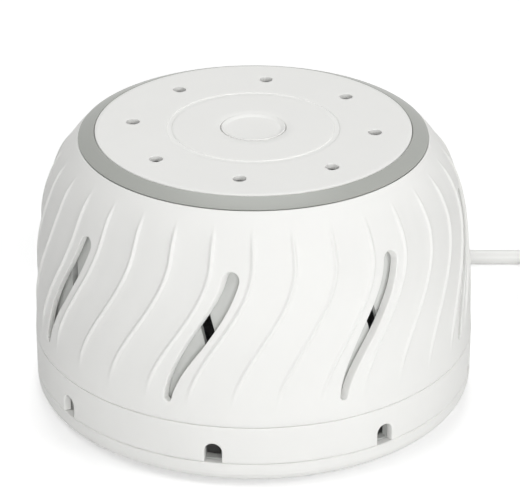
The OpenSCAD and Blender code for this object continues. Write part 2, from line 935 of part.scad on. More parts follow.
module switch_nut() {
    color(steel)
        translate([0, 0, deck_top])
            difference() {
                cylinder(d = nut_flats / cos(30), h = nut_h, $fn = 6);
                translate([0, 0, -1])
                    cylinder(r = bushing_r, h = nut_h + 2);
            }
}

// ---- motor ----

// Strap with a bearing boss, from one motor screw to the other
module bracket(strap_at, boss_at, pads_at) {
    difference() {
        union() {
            translate([0, 0, strap_at])
                linear_extrude(strap_t) {
                    square([motor_pitch, strap_w], center = true);
                    for (x = [-motor_x, motor_x])
                        translate([x, 0])
                            circle(d = strap_w);
                }
            translate([0, 0, boss_at])
                cylinder(r = bracket_boss_r, h = bush_l);
            for (x = [-motor_x, motor_x])
                translate([x, 0, pads_at])
                    cylinder(r = stand_off_r, h = stand_off);
        }
        translate([0, 0, boss_at - 1])
            cylinder(r = bush_r, h = bush_l + 2);
        for (x = [-motor_x, motor_x])
            translate([x, 0, min(strap_at, pads_at) - 1])
                cylinder(r = motor_hole_r, h = strap_t + stand_off + 2);
    }
}

module lower_bracket() {
    color(zinc)
        bracket(strap_z, lower_bush_z, strap_z + strap_t);
}

module upper_bracket() {
    color(zinc)
        bracket(upper_strap_z, upper_bush_z, stack_top);
}

module bearing_bushes() {
    color(bronze)
        for (z = [lower_bush_z, upper_bush_z])
            tube_between(shaft_r + shaft_gap, bush_r, z, bush_l);
}

module lamination_stack() {
    color(steel)
        translate([0, 0, stack_z])
            difference() {
                linear_extrude(stack_h)
                    difference() {
                        translate([0, (leg_out_y - pole_half_y) / 2])
                            rounded_square([2 * stack_half_x, leg_out_y + pole_half_y], stack_round);
                        translate([-window_half_x, pole_half_y])
                            square([2 * window_half_x, window_d]);
                        translate([-pole_slit_w / 2, pole_bore_r - 1])
                            square([pole_slit_w, pole_slit_l]);
                        translate([-pole_slit_w / 2, -pole_half_y - 1])
                            square([pole_slit_w, back_slit_l + 1]);
                        for (s = [-1, 1])
                            translate([s * ring_x, -s * ring_y])
                                square(ring_bar + 2 * hole_play, center = true);
                    }
                translate([0, 0, -1])
                    cylinder(r = pole_bore_r, h = stack_h + 2, $fn = fine);
                for (x = [-motor_x, motor_x])
                    translate([x, 0, -1])
                        cylinder(r = motor_hole_r, h = stack_h + 2);
            }
}

// A closed copper loop through each pole's hole and round its outer edge
module shading_rings() {
    far_y = pole_half_y + hole_play;
    color(copper)
        for (a = [0, 180])
            rotate([0, 0, a])
                translate([-ring_x - ring_bar / 2, 0, 0])
                    difference() {
                        translate([0, ring_y - ring_bar / 2, stack_z - ring_bar])
                            cube([ring_bar, far_y - ring_y + 1.5 * ring_bar, stack_h + 2 * ring_bar]);
                        translate([-1, ring_y + ring_bar / 2, stack_z])
                            cube([ring_bar + 2, far_y - ring_y - ring_bar / 2, stack_h]);
                    }
}

// A box round the lamination's leg, grown by g on the four sides round its length
module leg_sleeve(half_x, g) {
    translate([-half_x, leg_y - g, stack_z - g])
        cube([2 * half_x, leg_w + 2 * g, stack_h + 2 * g]);
}

module coil_bobbin() {
    color(dark)
        difference() {
            union() {
                leg_sleeve(bobbin_half_x, bobbin_play + bobbin_wall);
                for (x = [-1, 1])
                    translate([x * (bobbin_half_x - bobbin_wall / 2), 0, 0])
                        leg_sleeve(bobbin_wall / 2, bobbin_play + bobbin_wall + bobbin_flange_w);
            }
            leg_sleeve(bobbin_half_x + 1, bobbin_play);
        }
}

module coil_winding() {
    color(copper)
        difference() {
            leg_sleeve(bobbin_half_x - bobbin_wall, bobbin_play + bobbin_wall + winding_w);
            leg_sleeve(bobbin_half_x, bobbin_play + bobbin_wall);
        }
}

module motor_screws() {
    color(steel)
        for (x = [-motor_x, motor_x])
            translate([x, 0, floor_top]) {
                cylinder(r = motor_screw_r, h = upper_strap_top - floor_top);
                translate([0, 0, upper_strap_top - floor_top])
                    cylinder(r = motor_head_r, h = motor_head_h);
            }
}

module motor_grommets() {
    color(dark)
        for (x = [-motor_x, motor_x])
            translate([x, 0, 0])
                difference() {
                    tube_between(motor_hole_r, post_r + grommet_wall, post_top, grommet_h);
                    tube_between(
                        post_r - grommet_wall, post_r + 2,
                        post_top + (grommet_h - grommet_groove_h) / 2, grommet_groove_h
                    );
                }
}

module rotor_core() {
    color(steel)
        difference() {
            union() {
                translate([0, 0, lower_bush_z + bush_l + thrust_t])
                    cylinder(r = rotor_r - rotor_ring_w, h = stack_h + 2 * (bush_clear - thrust_t));
                translate([0, 0, stack_z + rotor_ring_h - bush_clear])
                    cylinder(r = rotor_r, h = stack_h);
            }
            translate([0, 0, lower_bush_z])
                cylinder(r = shaft_r, h = stack_h + 2 * bush_l);
        }
}

module thrust_washers() {
    color(white)
        for (z = [lower_bush_z + bush_l, upper_bush_z - thrust_t])
            tube_between(shaft_r, bush_r - washer_inset, z, thrust_t);
}

module motor_shaft() {
    color(steel)
        translate([0, 0, shaft_z])
            cylinder(r = shaft_r, h = shaft_top - shaft_z);
}

// ---- fan ----

// One curved blade, seen from above, from its root out to the rim
module blade_2d() {
    intersection() {
        translate([blade_shift_x, -blade_mid_r - blade_shift_y])
            difference() {
                circle(r = blade_curve_r);
                circle(r = blade_curve_r - blade_t);
            }
        translate([-fan_blade_l / 2, -fan_r + blade_inset])
            square([fan_blade_l, fan_blade_l - blade_inset]);
    }
}

module fan_wheel() {
    color(dark)
        difference() {
            union() {
                translate([0, 0, hub_z])
                    cylinder(r = hub_r, h = hub_top - hub_z);
                translate([0, 0, fan_z])
                    cylinder(r = fan_r, h = fan_plate_t, $fn = fine);
                around(blade_count)
                    translate([0, 0, fan_z + fan_plate_t - eps])
                        linear_extrude(blade_h)
                            blade_2d();
                tube_between(fan_r - shroud_w, fan_r, hub_top - shroud_t, shroud_t);
            }
            translate([0, 0, hub_z - 1])
                cylinder(r = shaft_r, h = hub_top - hub_z + 2);
            translate([0, -shaft_r, hub_top - set_screw_drop])
                rotate([90, 0, 0])
                    cylinder(r = set_screw_r, h = hub_r);
        }
}

module hub_set_screw() {
    color(steel)
        translate([0, -shaft_r, hub_top - set_screw_drop])
            rotate([90, 0, 0])
                cylinder(r = set_screw_r, h = hub_r - shaft_r - set_screw_gap);
}

// ---- wiring ----

cord_end = [0, relief_inner_y, cord_exit_z];
connector_mouth = [connector_x, connector_y, connector_z];
inwards = [0, -1, 0];
sideways = [1, 0, 0];

// A wire that leaves its start and meets its end squarely, by short straight stretches
module wire(start, out, points, end, into, up) {
    line = concat([start + wire_stub * out], points, [end - wire_stub * into]);
    sweep_tube(concat([start], curve_through(line, wire_parts), [end]), wire_r, wire_sides, up);
}

module lead_wires() {
    color(dark) {
        wire(
            cord_end - wire_pair_x * sideways, inwards,
            [
                cord_end + [-2, -5.5, 1.2], cord_end + [-4.5, -11.5, 5.5],
                [-8, riser_y, 20], [-14, riser_y, 32], [-13, riser_y - 1, 48],
                [-7, over_fan_y, lead_z - 3], [-terminal_x - 0.5, 24, lead_z],
            ],
            [-terminal_x, terminal_w / 2, lead_z], inwards, sideways
        );
        wire(
            cord_end + wire_pair_x * sideways, inwards,
            [cord_end + [2.2, -6, 0.9], connector_mouth + [-13, 3, 0]],
            connector_mouth - connector_pair_y * inwards, sideways, [0, 0, 1]
        );
        wire(
            connector_mouth + connector_pair_y * inwards, -sideways,
            [
                [connector_x - 8, coil_lead_y + 5.5, connector_z + 4],
                [coil_lead_x + 0.5, coil_lead_y + 5, coil_lead_z - 5],
            ],
            [coil_lead_x, coil_lead_y, coil_lead_z], inwards, [0, 0, 1]
        );
        wire(
            [-coil_lead_x, coil_lead_y, coil_lead_z], -inwards,
            [
                [-coil_lead_x + 1, riser_y, coil_lead_z + 6],
                [-4, riser_y, coil_lead_z + 18], [1, riser_y - 2, coil_lead_z + 30],
                [terminal_x + 1, over_fan_y, lead_z - 3], [terminal_x + 0.3, 24, lead_z],
            ],
            [terminal_x, terminal_w / 2, lead_z], inwards, sideways
        );
    }
}

module wire_connectors() {
    color(grey)
        translate(connector_mouth)
            rotate([0, 90, 0])
                cylinder(r1 = connector_r, r2 = connector_tip_r, h = connector_l);
}

// ---- cord and plug ----

module strain_relief() {
    color(white)
        translate([0, 0, cord_exit_z])
            rotate([-90, 0, 0])
                difference() {
                    union() {
                        translate([0, 0, relief_inner_y])
                            cylinder(r = relief_neck_r, h = relief_y - relief_inner_y + eps);
                        translate([-relief_flange_w / 2, -relief_flange_h / 2, relief_flange_y])
                            cube([relief_flange_w, relief_flange_h, relief_flange_t]);
                        translate([0, 0, relief_y])
                            cylinder(r = relief_collar_r, h = relief_collar_t);
                        translate([0, 0, relief_y + relief_collar_t])
                            cylinder(r1 = relief_collar_r - relief_step, r2 = relief_end_r, h = relief_l);
                    }
                    translate([0, 0, relief_inner_y - 1])
                        cylinder(r = cord_r, h = relief_y + relief_collar_t + relief_l - relief_inner_y + 2);
                }
}

module power_cord() {
    color(white) {
        sweep_tube(cord_route, cord_r, cord_sides);
        sweep_tube([
            [tail_x, coil_centre[1] - tail_start, tail_z],
            [tail_x, tail_y, tail_z],
        ], cord_r, cord_sides);
    }
}

module cord_coil() {
    color(white)
        translate(coil_centre)
            rotate_extrude($fn = fine)
                translate([coil_inner_r - cord_r, 0])
                    square([coil_outer_r - coil_inner_r + cord_d, coil_h]);
}

module plug_body() {
    color(white)
        translate([tail_x, tail_y, tail_z])
            rotate([90, 0, 0]) {
                cylinder(r1 = relief_end_r, r2 = boot_r, h = boot_l);
                hull() {
                    translate([0, 0, boot_l])
                        cylinder(r = boot_r, h = 0.1, $fn = 32);
                    translate([0, 0, boot_l + plug_taper])
                        linear_extrude(0.1)
                            rounded_square([plug_w, 2 * tail_z], plug_round, $fn = 32);
                }
                difference() {
                    translate([0, 0, boot_l + plug_taper])
                        linear_extrude(plug_l - plug_taper)
                            rounded_square([plug_w, 2 * tail_z], plug_round);
                    for (x = [-1, 1])
                        translate([x * blade_pitch / 2 - blade_thick / 2, -blade_w / 2,
                            boot_l + plug_l - blade_root])
                            cube([blade_thick, blade_w, blade_root + 1]);
                }
            }
}

module plug_blades() {
    color(bronze)
        translate([tail_x, tail_y - boot_l - plug_l, tail_z])
            for (x = [-1, 1])
                translate([x * blade_pitch / 2 - blade_thick / 2, -blade_l, -blade_w / 2])
                    difference() {
                        cube([blade_thick, blade_l + blade_root, blade_w]);
                        translate([-1, blade_hole_in, blade_w / 2])
                            rotate([0, 90, 0])
                                cylinder(r = blade_hole_r, h = blade_thick + 2);
                    }
}

base_pan();
rubber_feet();
drum_screws();
inner_drum();
tone_collar();
cap_shell();
trim_ring();
top_plate();
cap_screws();
glide_washers();
power_button();
switch_plunger();
button_spring();
switch_body();
switch_nut();
fan_wheel();
hub_set_screw();
motor_shaft();
rotor_core();
thrust_washers();
lamination_stack();
shading_rings();
coil_bobbin();
coil_winding();
lower_bracket();
upper_bracket();
bearing_bushes();
motor_screws();
motor_grommets();
lead_wires();
wire_connectors();
strain_relief();
power_cord();
cord_coil();
plug_body();
plug_blades();
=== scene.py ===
"""Looks of the fan sound machine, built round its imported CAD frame.

Shapes are worked out in millimetres and turned into metres when a mesh is made.
Angles round the body are in degrees, counted from the front towards +X.
"""

import json
import math

import bmesh
import bpy
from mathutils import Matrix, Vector


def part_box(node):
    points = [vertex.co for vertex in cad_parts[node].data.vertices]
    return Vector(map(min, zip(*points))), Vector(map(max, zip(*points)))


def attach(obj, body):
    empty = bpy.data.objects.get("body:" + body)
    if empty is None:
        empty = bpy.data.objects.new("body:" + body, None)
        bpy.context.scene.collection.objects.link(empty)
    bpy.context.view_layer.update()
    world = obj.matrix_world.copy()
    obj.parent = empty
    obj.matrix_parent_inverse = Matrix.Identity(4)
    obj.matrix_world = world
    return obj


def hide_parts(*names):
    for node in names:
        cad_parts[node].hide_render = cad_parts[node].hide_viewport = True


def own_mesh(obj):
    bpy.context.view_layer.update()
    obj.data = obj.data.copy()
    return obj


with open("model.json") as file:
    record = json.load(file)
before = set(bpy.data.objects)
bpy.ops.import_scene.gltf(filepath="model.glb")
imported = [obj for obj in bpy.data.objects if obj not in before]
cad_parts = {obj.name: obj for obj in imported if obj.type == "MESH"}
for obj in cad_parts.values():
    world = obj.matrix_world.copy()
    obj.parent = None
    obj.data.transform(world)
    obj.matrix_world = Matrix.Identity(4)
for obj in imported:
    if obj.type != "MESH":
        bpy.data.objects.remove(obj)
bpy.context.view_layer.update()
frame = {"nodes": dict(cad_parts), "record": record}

MM = 0.001


def low(node):
    """Lowest corner of a CAD node, in millimetres."""
    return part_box(node)[0] / MM


def high(node):
    """Highest corner of a CAD node, in millimetres."""
    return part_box(node)[1] / MM


# ---- sizes taken from the frame ----

BODY_R = high("tone_collar").x
COLLAR_Z = low("tone_collar").z
COLLAR_TOP = high("tone_collar").z
CAP_Z = low("cap_shell").z
CAP_TOP = high("cap_shell").z
CAP_H = CAP_TOP - CAP_Z
RING_R = high("trim_ring").x
RING_Z = low("trim_ring").z
PLATE_R = high("top_plate").x
PLATE_TOP = high("top_plate").z
BUTTON_R = high("power_button").x
BUTTON_TOP = high("power_button").z
BUTTON_Z = low("power_button").z
DECK_TOP = high("inner_drum").z
EXIT_Z = (low("strain_relief").z + high("strain_relief").z) / 2
PLUG_X = (low("plug_body").x + high("plug_body").x) / 2
PLUG_Z = (low("plug_body").z + high("plug_body").z) / 2
PLUG_FRONT_Y = low("plug_body").y
BOOT_Y = high("plug_body").y

# ---- sizes shared with the CAD source ----

SEAM_GAP = 0.2
SIDE_DRAFT = 4.4
CROWN_POWER = 5.4
CROWN_R = RING_R + SEAM_GAP
SHELL_WALL = 2.4
COLLAR_WALL = 2.4
PLATE_T = 1.8

RIB_COUNT = 32
RIB_W = 2.4
RIB_H = 0.6
RIB_FADE = 7
RIB_LOW_FADE = 14  # the source's ribs fade over RIB_FADE here too
RIB_LOW = CAP_Z + 0.07 * CAP_H
RIB_HIGH = CAP_TOP - 3
SWAY_DEG = 16.5
SWAY_TOP = CAP_Z + 0.796 * CAP_H
SWAY_BOTTOM = CAP_Z + 0.074 * CAP_H

OPENINGS = 8
SLOT_W = 5.2
SLOT_TIP_W = 2.4
SLOT_PHASE = -5.4
SLOT_PULLS = (-36, 54, 144, 234)  # where the mould's four slides pull out, in degrees
LEAN_ENDS_DEG = 13
LEAN_FADE_DEG = 8
SLOT_HIGH = CAP_Z + 0.722 * CAP_H
SLOT_LOW = CAP_Z + 0.114 * CAP_H
SLOT_TAPER_Z = CAP_Z + 0.41 * CAP_H

PORT_W = 5.7
PORT_H = 7
PORT_PHASE = -10

HOLE_R = 2.2
HOLE_RING_R = 39.5
HOLE_PHASE = -6.1
HOLE_SIDE_DEG = 20
GROOVE_OUT_R = 28.1
GROOVE_IN_R = 26.4
GROOVE_DEPTH = 0.3
SEAT_GAP = 0.2
BOSSES = 3
BOSS_PHASE = 30
BOSS_RING_R = 24
BOSS_R = 4.5
BOSS_BORE_R = 1.6
BUTTON_WALL = 1.6
BUTTON_DISH = 0.6
BUTTON_FLAT_R = BUTTON_R - 1.6
SPRING_WIRE_R = 0.3
SPRING_TURNS = 3

CORD_D = 5.2
CORD_ROUTE = [
    (0, 66.5, 5.9), (0, 76, 5.9), (0, 86, 5.9), (0, 96.5, 5.9), (2, 105.5, 5.4), (7, 113.5, 4.5),
    (15, 118.5, 3.6), (24, 120.5, 3), (33, 118.5, 2.7), (41, 113.5, 2.6), (48.5, 106, 2.6),
    (56, 98.5, 2.6), (63, 91.5, 2.6), (68.5, 87.5, 2.6), (74.5, 85, 2.6), (81, 84, 2.6), (90, 84, 2.6),
    (100, 84, 2.6), (110, 84, 2.6), (120, 84, 2.6), (130, 84, 2.6), (141, 84, 2.6),
]
COIL_X = 141
COIL_INNER_R = 20.8
COIL_OUTER_R = 41.6
COIL_Y = 84 - COIL_OUTER_R
COIL_TURNS = 4
COIL_CLIMB_TURNS = 0.3
COIL_STEPS = 40
BLADE_PITCH = 12.7
BLADE_W = 6.35
BLADE_T = 1.5

# ---- camera and light ----

VIEW_ELEVATION = 26.718
VIEW_DISTANCE = 867.82
VIEW_TARGET = (2.149, 0, 48.56)
FOCAL_PX = 2613.04
PHOTO_W = 520

WORLD_LIGHT = 0.2
FLOOR_COLOUR = (0.86, 0.86, 0.86)
FLOOR_HALF = 4000
# The floor's own light, which grows between two distances from its middle, in metres.
FLOOR_LIFT = 0.37
FLOOR_FAR_LIFT = 0.85
FLOOR_NEAR = 0.4
FLOOR_FAR = 1.3
BODY_MID_Z = 50
# Name, angle from the front, height angle, distance and size in metres, and power in watts.
LAMPS = [
    ("front", 5, 18, 1.2, 0.6, 5.9),
    ("right", 60, 30, 1.2, 0.6, 3.6),
    ("left", -60, 60, 1.2, 0.6, 2.6),
    ("back", 180, 65, 1.2, 0.6, 5.1),
]


# ---- small helpers ----

def smooth(t):
    t = min(1, max(0, t))
    return t * t * (3 - 2 * t)


def mix(a, b, t):
    return tuple(x + (y - x) * t for x, y in zip(a, b))


def spread(start, end, parts):
    """Values from start to end, both included."""
    return [start + (end - start) * i / parts for i in range(parts + 1)]


def around(angle, radius, z):
    """The point at an angle from the front, in millimetres."""
    a = math.radians(angle)
    return radius * math.sin(a), -radius * math.cos(a), z


def mesh_piece(name, points, faces, sharp_deg=32):
    """A mesh object from points in millimetres, smooth but for its sharp edges."""
    mesh = bpy.data.meshes.new(name)
    mesh.from_pydata([Vector(p) * MM for p in points], [], faces)
    bm = bmesh.new()
    bm.from_mesh(mesh)
    finish_mesh(bm, mesh, sharp_deg)
    piece = bpy.data.objects.new(name, mesh)
    bpy.context.scene.collection.objects.link(piece)
    return piece


def finish_mesh(bm, mesh, sharp_deg=32):
    """Turns normals out, shades smooth, marks edges past sharp_deg and writes the mesh."""
    bmesh.ops.recalc_face_normals(bm, faces=bm.faces)
    for face in bm.faces:
        face.smooth = True
    for edge in bm.edges:
        if len(edge.link_faces) == 2:
            edge.smooth = edge.calc_face_angle() < math.radians(sharp_deg)
    bm.to_mesh(mesh)
    bm.free()


def softened(corners, steps=5):
    """A profile from (r, z, radius) corners, each rounded with its own radius."""
    profile = []
    count = len(corners)
    for i, (x, z, radius) in enumerate(corners):
        here = Vector((x, z))
        if radius == 0:
            profile.append(here)
            continue
        before = (Vector(corners[i - 1][:2]) - here).normalized()
        after = (Vector(corners[(i + 1) % count][:2]) - here).normalized()
        half = before.angle(after) / 2
        centre = here + (before + after).normalized() * (radius / math.sin(half))
        start = here + before * (radius / math.tan(half)) - centre
        end = here + after * (radius / math.tan(half)) - centre
        for t in spread(0, 1, steps):
            profile.append(centre + radius * start.slerp(end, t))
    return profile


def lathe(profile, steps, centre=(0, 0)):
    """Points and faces of a closed profile of (r, z) turned round an upright axis."""
    points, faces, rings = [], [], []
    for r, z in profile:
        if r < 1e-6:
            points.append((centre[0], centre[1], z))
            rings.append([len(points) - 1] * steps)
            continue
        rings.append([])
        for k in range(steps):
            x, y, _ = around(360 * k / steps, r, z)
            points.append((centre[0] + x, centre[1] + y, z))
            rings[-1].append(len(points) - 1)
    for ring, upper in zip(rings, rings[1:] + rings[:1]):
        for k in range(steps):
            face = [ring[k], ring[(k + 1) % steps], upper[(k + 1) % steps], upper[k]]
            face = list(dict.fromkeys(face))
            if len(face) > 2:
                faces.append(face)
    return points, faces


def joined(*shapes):
    """Several (points, faces) as one."""
    points, faces = [], []
    for more_points, more_faces in shapes:
        base = len(points)
        points += list(more_points)
        faces += [[base + i for i in face] for face in more_faces]
    return points, faces


# ---- walls with openings ----

def slot_edge(levels, half, sweep, radius, arc):
    """The edge of a long opening with round ends, as a function of how much wider it is made.

    levels are the rows along its straight part. Its middle line runs at the angle sweep(level).
    """
    def point(level, grow, across, along):
        slope = radius(level) * math.radians(sweep(level + 0.1) - sweep(level - 0.1)) / 0.2
        tilt = math.atan(slope)
        reach = half(level) + grow
        right = reach * (across * math.cos(tilt) + along * math.sin(tilt))
        up = reach * (along * math.cos(tilt) - across * math.sin(tilt))
        return sweep(level) + math.degrees(right / radius(level)), level + up

    def edge(grow):
        turns = [math.pi * m / arc for m in range(arc - 1, 0, -1)]
        return (
            [point(z, grow, -1, 0) for z in levels],
            [point(z, grow, 1, 0) for z in levels],
            [point(levels[-1], grow, math.cos(t), math.sin(t)) for t in turns],
            [point(levels[0], grow, math.cos(t), -math.sin(t)) for t in turns],
        )
    return edge


def hole_edge(level, hole_r, arc, side_deg):
    """The edge of a round hole at radius level of a flat disc, as slot_edge gives it.

    The two rows that cross the hole meet its edge side_deg above and below its middle.
    """
    side = math.radians(side_deg)

    def point(grow, turn):
        reach = hole_r + grow
        return math.degrees(reach * math.cos(turn) / level), level + reach * math.sin(turn)

    def edge(grow):
        turns = [math.pi - side - (math.pi - 2 * side) * m / arc for m in range(1, arc)]
        return (
            [point(grow, math.pi + side), point(grow, math.pi - side)],
            [point(grow, -side), point(grow, side)],
            [point(grow, t) for t in turns],
            [point(grow, -t) for t in turns],
        )
    return edge


class PiercedWall:
    """A wall of revolution with equal openings, their rims rounded.

    place(angle, level, depth) gives a point. rows are (level, depth of the outer face) from low to
    high. fixed are one cell's columns, in degrees from the opening's middle line, with a gap for it.
    The opening's ends are on rows first and last, and its edge comes from edge(grow). It leans with
    sweep(level). Its rim has the radius rim, and arc, near and reach are the steps round its ends,
    beside it and past its ends. With open_low it cuts through the wall's lower edge.
    """

    RIM_STEPS = 4

    def __init__(self, place, wall, rows, fixed, phase, sweep, edge, first, last,
                 arc, reach, rim, near=3, open_low=False):
        self.place, self.rows, self.phase, self.sweep, self.edge = place, rows, phase, sweep, edge
        self.first, self.last, self.arc, self.reach, self.near = first, last, arc, reach, near
        self.rim, self.open_low = rim, open_low
        self.lefts = [c for c in fixed if c < 0]
        self.after, *self.rights = [c for c in fixed if c > 0]
        self.band_at = len(self.lefts) + near - 1
        self.width = self.band_at + arc + near + len(self.rights)
        self.points, self.faces = [], []
        self.outer = self.sheet(rim, 0)
        self.inner = self.sheet(0, wall)
        for cell in range(OPENINGS):
            self.add_skins(cell)
            self.add_rim(cell)

    def shape(self):
        return self.points, self.faces

    def add(self, cell, where, depth):
        """The number of a new point, at (angle, level) in a cell."""
        angle, level = where
        self.points.append(self.place(self.phase + cell * 360 / OPENINGS + angle, level, depth))
        return len(self.points) - 1

    def band_row(self, i, sides):
        """The row's points across the opening's width; None where it is open."""
        left, right, top, bottom = sides
        first, last, reach = self.first, self.last, self.reach
        if first <= i <= last:
            inner = [None] * (self.arc - 1)
            if i == last:
                inner = top
            if i == first and not self.open_low:
                inner = bottom
            return [left[i - first], *inner, right[i - first]]
        end, cap, step = (last, top, 1) if i > last else (first, bottom, -1)
        share = min(abs(i - end) / reach, 1)
        far = self.rows[end + step * reach][0] if share < 1 else self.rows[i][0]
        half_deg = (right[end - first][0] - left[end - first][0]) / 2
        flat = [(self.sweep(far) + half_deg * c, far) for c in spread(-1, 1, self.arc)]
        caps = [left[end - first], *cap, right[end - first]]
        return [mix(a, b, share) for a, b in zip(caps, flat)]

    def row_points(self, i, sides):
        """One cell's points along a row: columns, the opening's width, and columns again."""
        level = self.rows[i][0]
        middle = self.sweep(level)
        band = self.band_row(i, sides)
        line = [(middle + c, level) for c in self.lefts]
        line += [mix(line[-1], band[0], t) for t in spread(0, 1, self.near)[1:-1]]
        line += band
        after = (middle + self.after, level)
        line += [mix(band[-1], after, t) for t in spread(0, 1, self.near)[1:-1]]
        return line + [(middle + c, level) for c in [self.after, *self.rights][:-1]]

    def sheet(self, grow, depth):
        """The point numbers of one face of the wall, by cell, row and column."""
        sides = self.edge(grow)
        lines = [self.row_points(i, sides) for i in range(len(self.rows))]
        return [
            [
                [p and self.add(cell, p, max(sunk, depth)) for p in line]
                for (_, sunk), line in zip(self.rows, lines)
            ]
            for cell in range(OPENINGS)
        ]

    def add_skins(self, cell):
        """One cell's faces, outside and inside, and those along the wall's two edges."""
        for c in range(self.width):
            other, d = (cell, c + 1) if c + 1 < self.width else ((cell + 1) % OPENINGS, 0)
            in_band = self.band_at <= c < self.band_at + self.arc
            for sheet in (self.outer, self.inner):
                for i in range(len(self.rows) - 1):
                    if not (in_band and self.first <= i < self.last):
                        self.faces.append([sheet[cell][i][c], sheet[other][i][d],
                                           sheet[other][i + 1][d], sheet[cell][i + 1][c]])
            for i in (0, len(self.rows) - 1):
                if not (in_band and self.open_low and i == 0):
                    self.faces.append([self.outer[cell][i][c], self.outer[other][i][d],
                                       self.inner[other][i][d], self.inner[cell][i][c]])

    def rim_loop(self, rows):
        """The point numbers round one opening of a sheet's cell, from its lower right."""
        left, right = self.band_at, self.band_at + self.arc
        side = range(self.first, self.last + 1)
        loop = [rows[i][right] for i in side] + rows[self.last][right - 1:left:-1]
        loop += [rows[i][left] for i in reversed(side)]
        return loop if self.open_low else loop + rows[self.first][left + 1:right]

    def rim_points(self, cell, turn):
        """New points round an opening, part of the way round its rim's rounding."""
        left, right, top, bottom = self.edge(self.rim * (1 - math.sin(turn)))
        depth = self.rim * (1 - math.cos(turn))
        sunk = [self.rows[i][1] for i in range(self.first, self.last + 1)]
        path = list(zip(right, sunk)) + [(p, sunk[-1]) for p in reversed(top)]
        path += zip(reversed(left), reversed(sunk))
        if not self.open_low:
            path += [(p, sunk[0]) for p in bottom]
        return [self.add(cell, p, max(s, depth)) for p, s in path]

    def add_rim(self, cell):
        """The faces of one opening's rim: its rounding, then straight through the wall."""
        loops = [self.rim_loop(self.outer[cell])]
        loops += [self.rim_points(cell, turn) for turn in spread(0, math.pi / 2, self.RIM_STEPS)[1:]]
        loops.append(self.rim_loop(self.inner[cell]))
        for loop, deeper in zip(loops, loops[1:]):
            for k in range(len(loop) - self.open_low):
                n = (k + 1) % len(loop)
                self.faces.append([loop[k], loop[n], deeper[n], deeper[k]])
        if self.open_low:
            self.faces.append([loop[0] for loop in loops])
            self.faces.append([loop[-1] for loop in loops])


# ---- cap shell ----

def crown_part(z):
    return min(1, max(0, (z - CAP_Z) / CAP_H))


def outline_r(z):
    t = crown_part(z)
    return BODY_R - SIDE_DRAFT * t - (BODY_R - SIDE_DRAFT - CROWN_R) * t ** CROWN_POWER


def outline_slope(z):
    t = crown_part(z)
    turn_in = (BODY_R - SIDE_DRAFT - CROWN_R) * CROWN_POWER * t ** (CROWN_POWER - 1)
    return -(SIDE_DRAFT + turn_in) / CAP_H


def sway(z):
    return -SWAY_DEG * smooth((SWAY_TOP - z) / (SWAY_TOP - SWAY_BOTTOM))


RIB_HALF_DEG = math.degrees(RIB_W / 2 / BODY_R)


def rib_rise(angle, z):
    """How far the cap stands out at an angle, for the ribs that sway down round it."""
    pitch = 360 / RIB_COUNT
    off = (angle - sway(z) + pitch / 2) % pitch - pitch / 2
    share = abs(off) / RIB_HALF_DEG
    if share >= 1:
        return 0
    fade = smooth((z - RIB_LOW) / RIB_LOW_FADE) * smooth((RIB_HIGH - z) / RIB_FADE)
    return RIB_H * fade * math.cos(share * math.pi / 2) ** 2


def turned_from(angle, other):
    """The angle from other to angle, between -180 and 180."""
    return (angle - other + 180) % 360 - 180


def slot_lean(angle, z):
    """Degrees that a slot's walls turn for each mm inwards: they run the way the mould pulls out.

    The turn fades away from the slots, so the inside of the wall stays round.
    """
    cell = 360 / OPENINGS
    off = (angle - sway(z) - SLOT_PHASE + cell / 2) % cell - cell / 2
    middle = angle - off - sway(z) - SWAY_DEG / 2
    pull = min(SLOT_PULLS, key=lambda p: abs(turned_from(p, middle)))
    slant = math.tan(math.radians(turned_from(pull, angle - off)))
    return -smooth((LEAN_ENDS_DEG - abs(off)) / LEAN_FADE_DEG) * math.degrees(slant / outline_r(z))


def cap_point(angle, z, depth):
    slope = outline_slope(z)
    length = math.hypot(1, slope)
    rise = rib_rise(angle, z) if depth < RIB_H else 0
    r = outline_r(z) + (rise - depth) / length
    return around(angle + depth * slot_lean(angle, z), r, max(CAP_Z, z + (depth - rise) * slope / length))


def slot_half(z):
    taper = min(1, max(0, (SLOT_TAPER_Z - z) / (SLOT_TAPER_Z - SLOT_LOW)))
    return SLOT_W / 2 - (SLOT_W - SLOT_TIP_W) / 2 * taper


def rib_columns():
    """One cell's columns: fine over each rib, coarse over the flats, with a gap for the slot."""
    pitch = 360 / RIB_COUNT
    cell = 360 / OPENINGS
    nearest = (-SLOT_PHASE + pitch / 2) % pitch - pitch / 2
    ribs = [nearest + k * pitch for k in range(-4, 5)]
    ribs = [r for r in ribs if -cell / 2 < r - RIB_HALF_DEG and r + RIB_HALF_DEG < cell / 2]
    columns = []
    ends = [-cell / 2]
    for rib in ribs:
        ends += [rib - RIB_HALF_DEG, rib + RIB_HALF_DEG]
    ends.append(cell / 2)
    for k, (a, b) in enumerate(zip(ends, ends[1:])):
        if a < 0 < b:
            columns.append(a)
        else:
            columns += spread(a, b, 10 if k % 2 else 3)[:-1]
    return columns + [cell / 2]


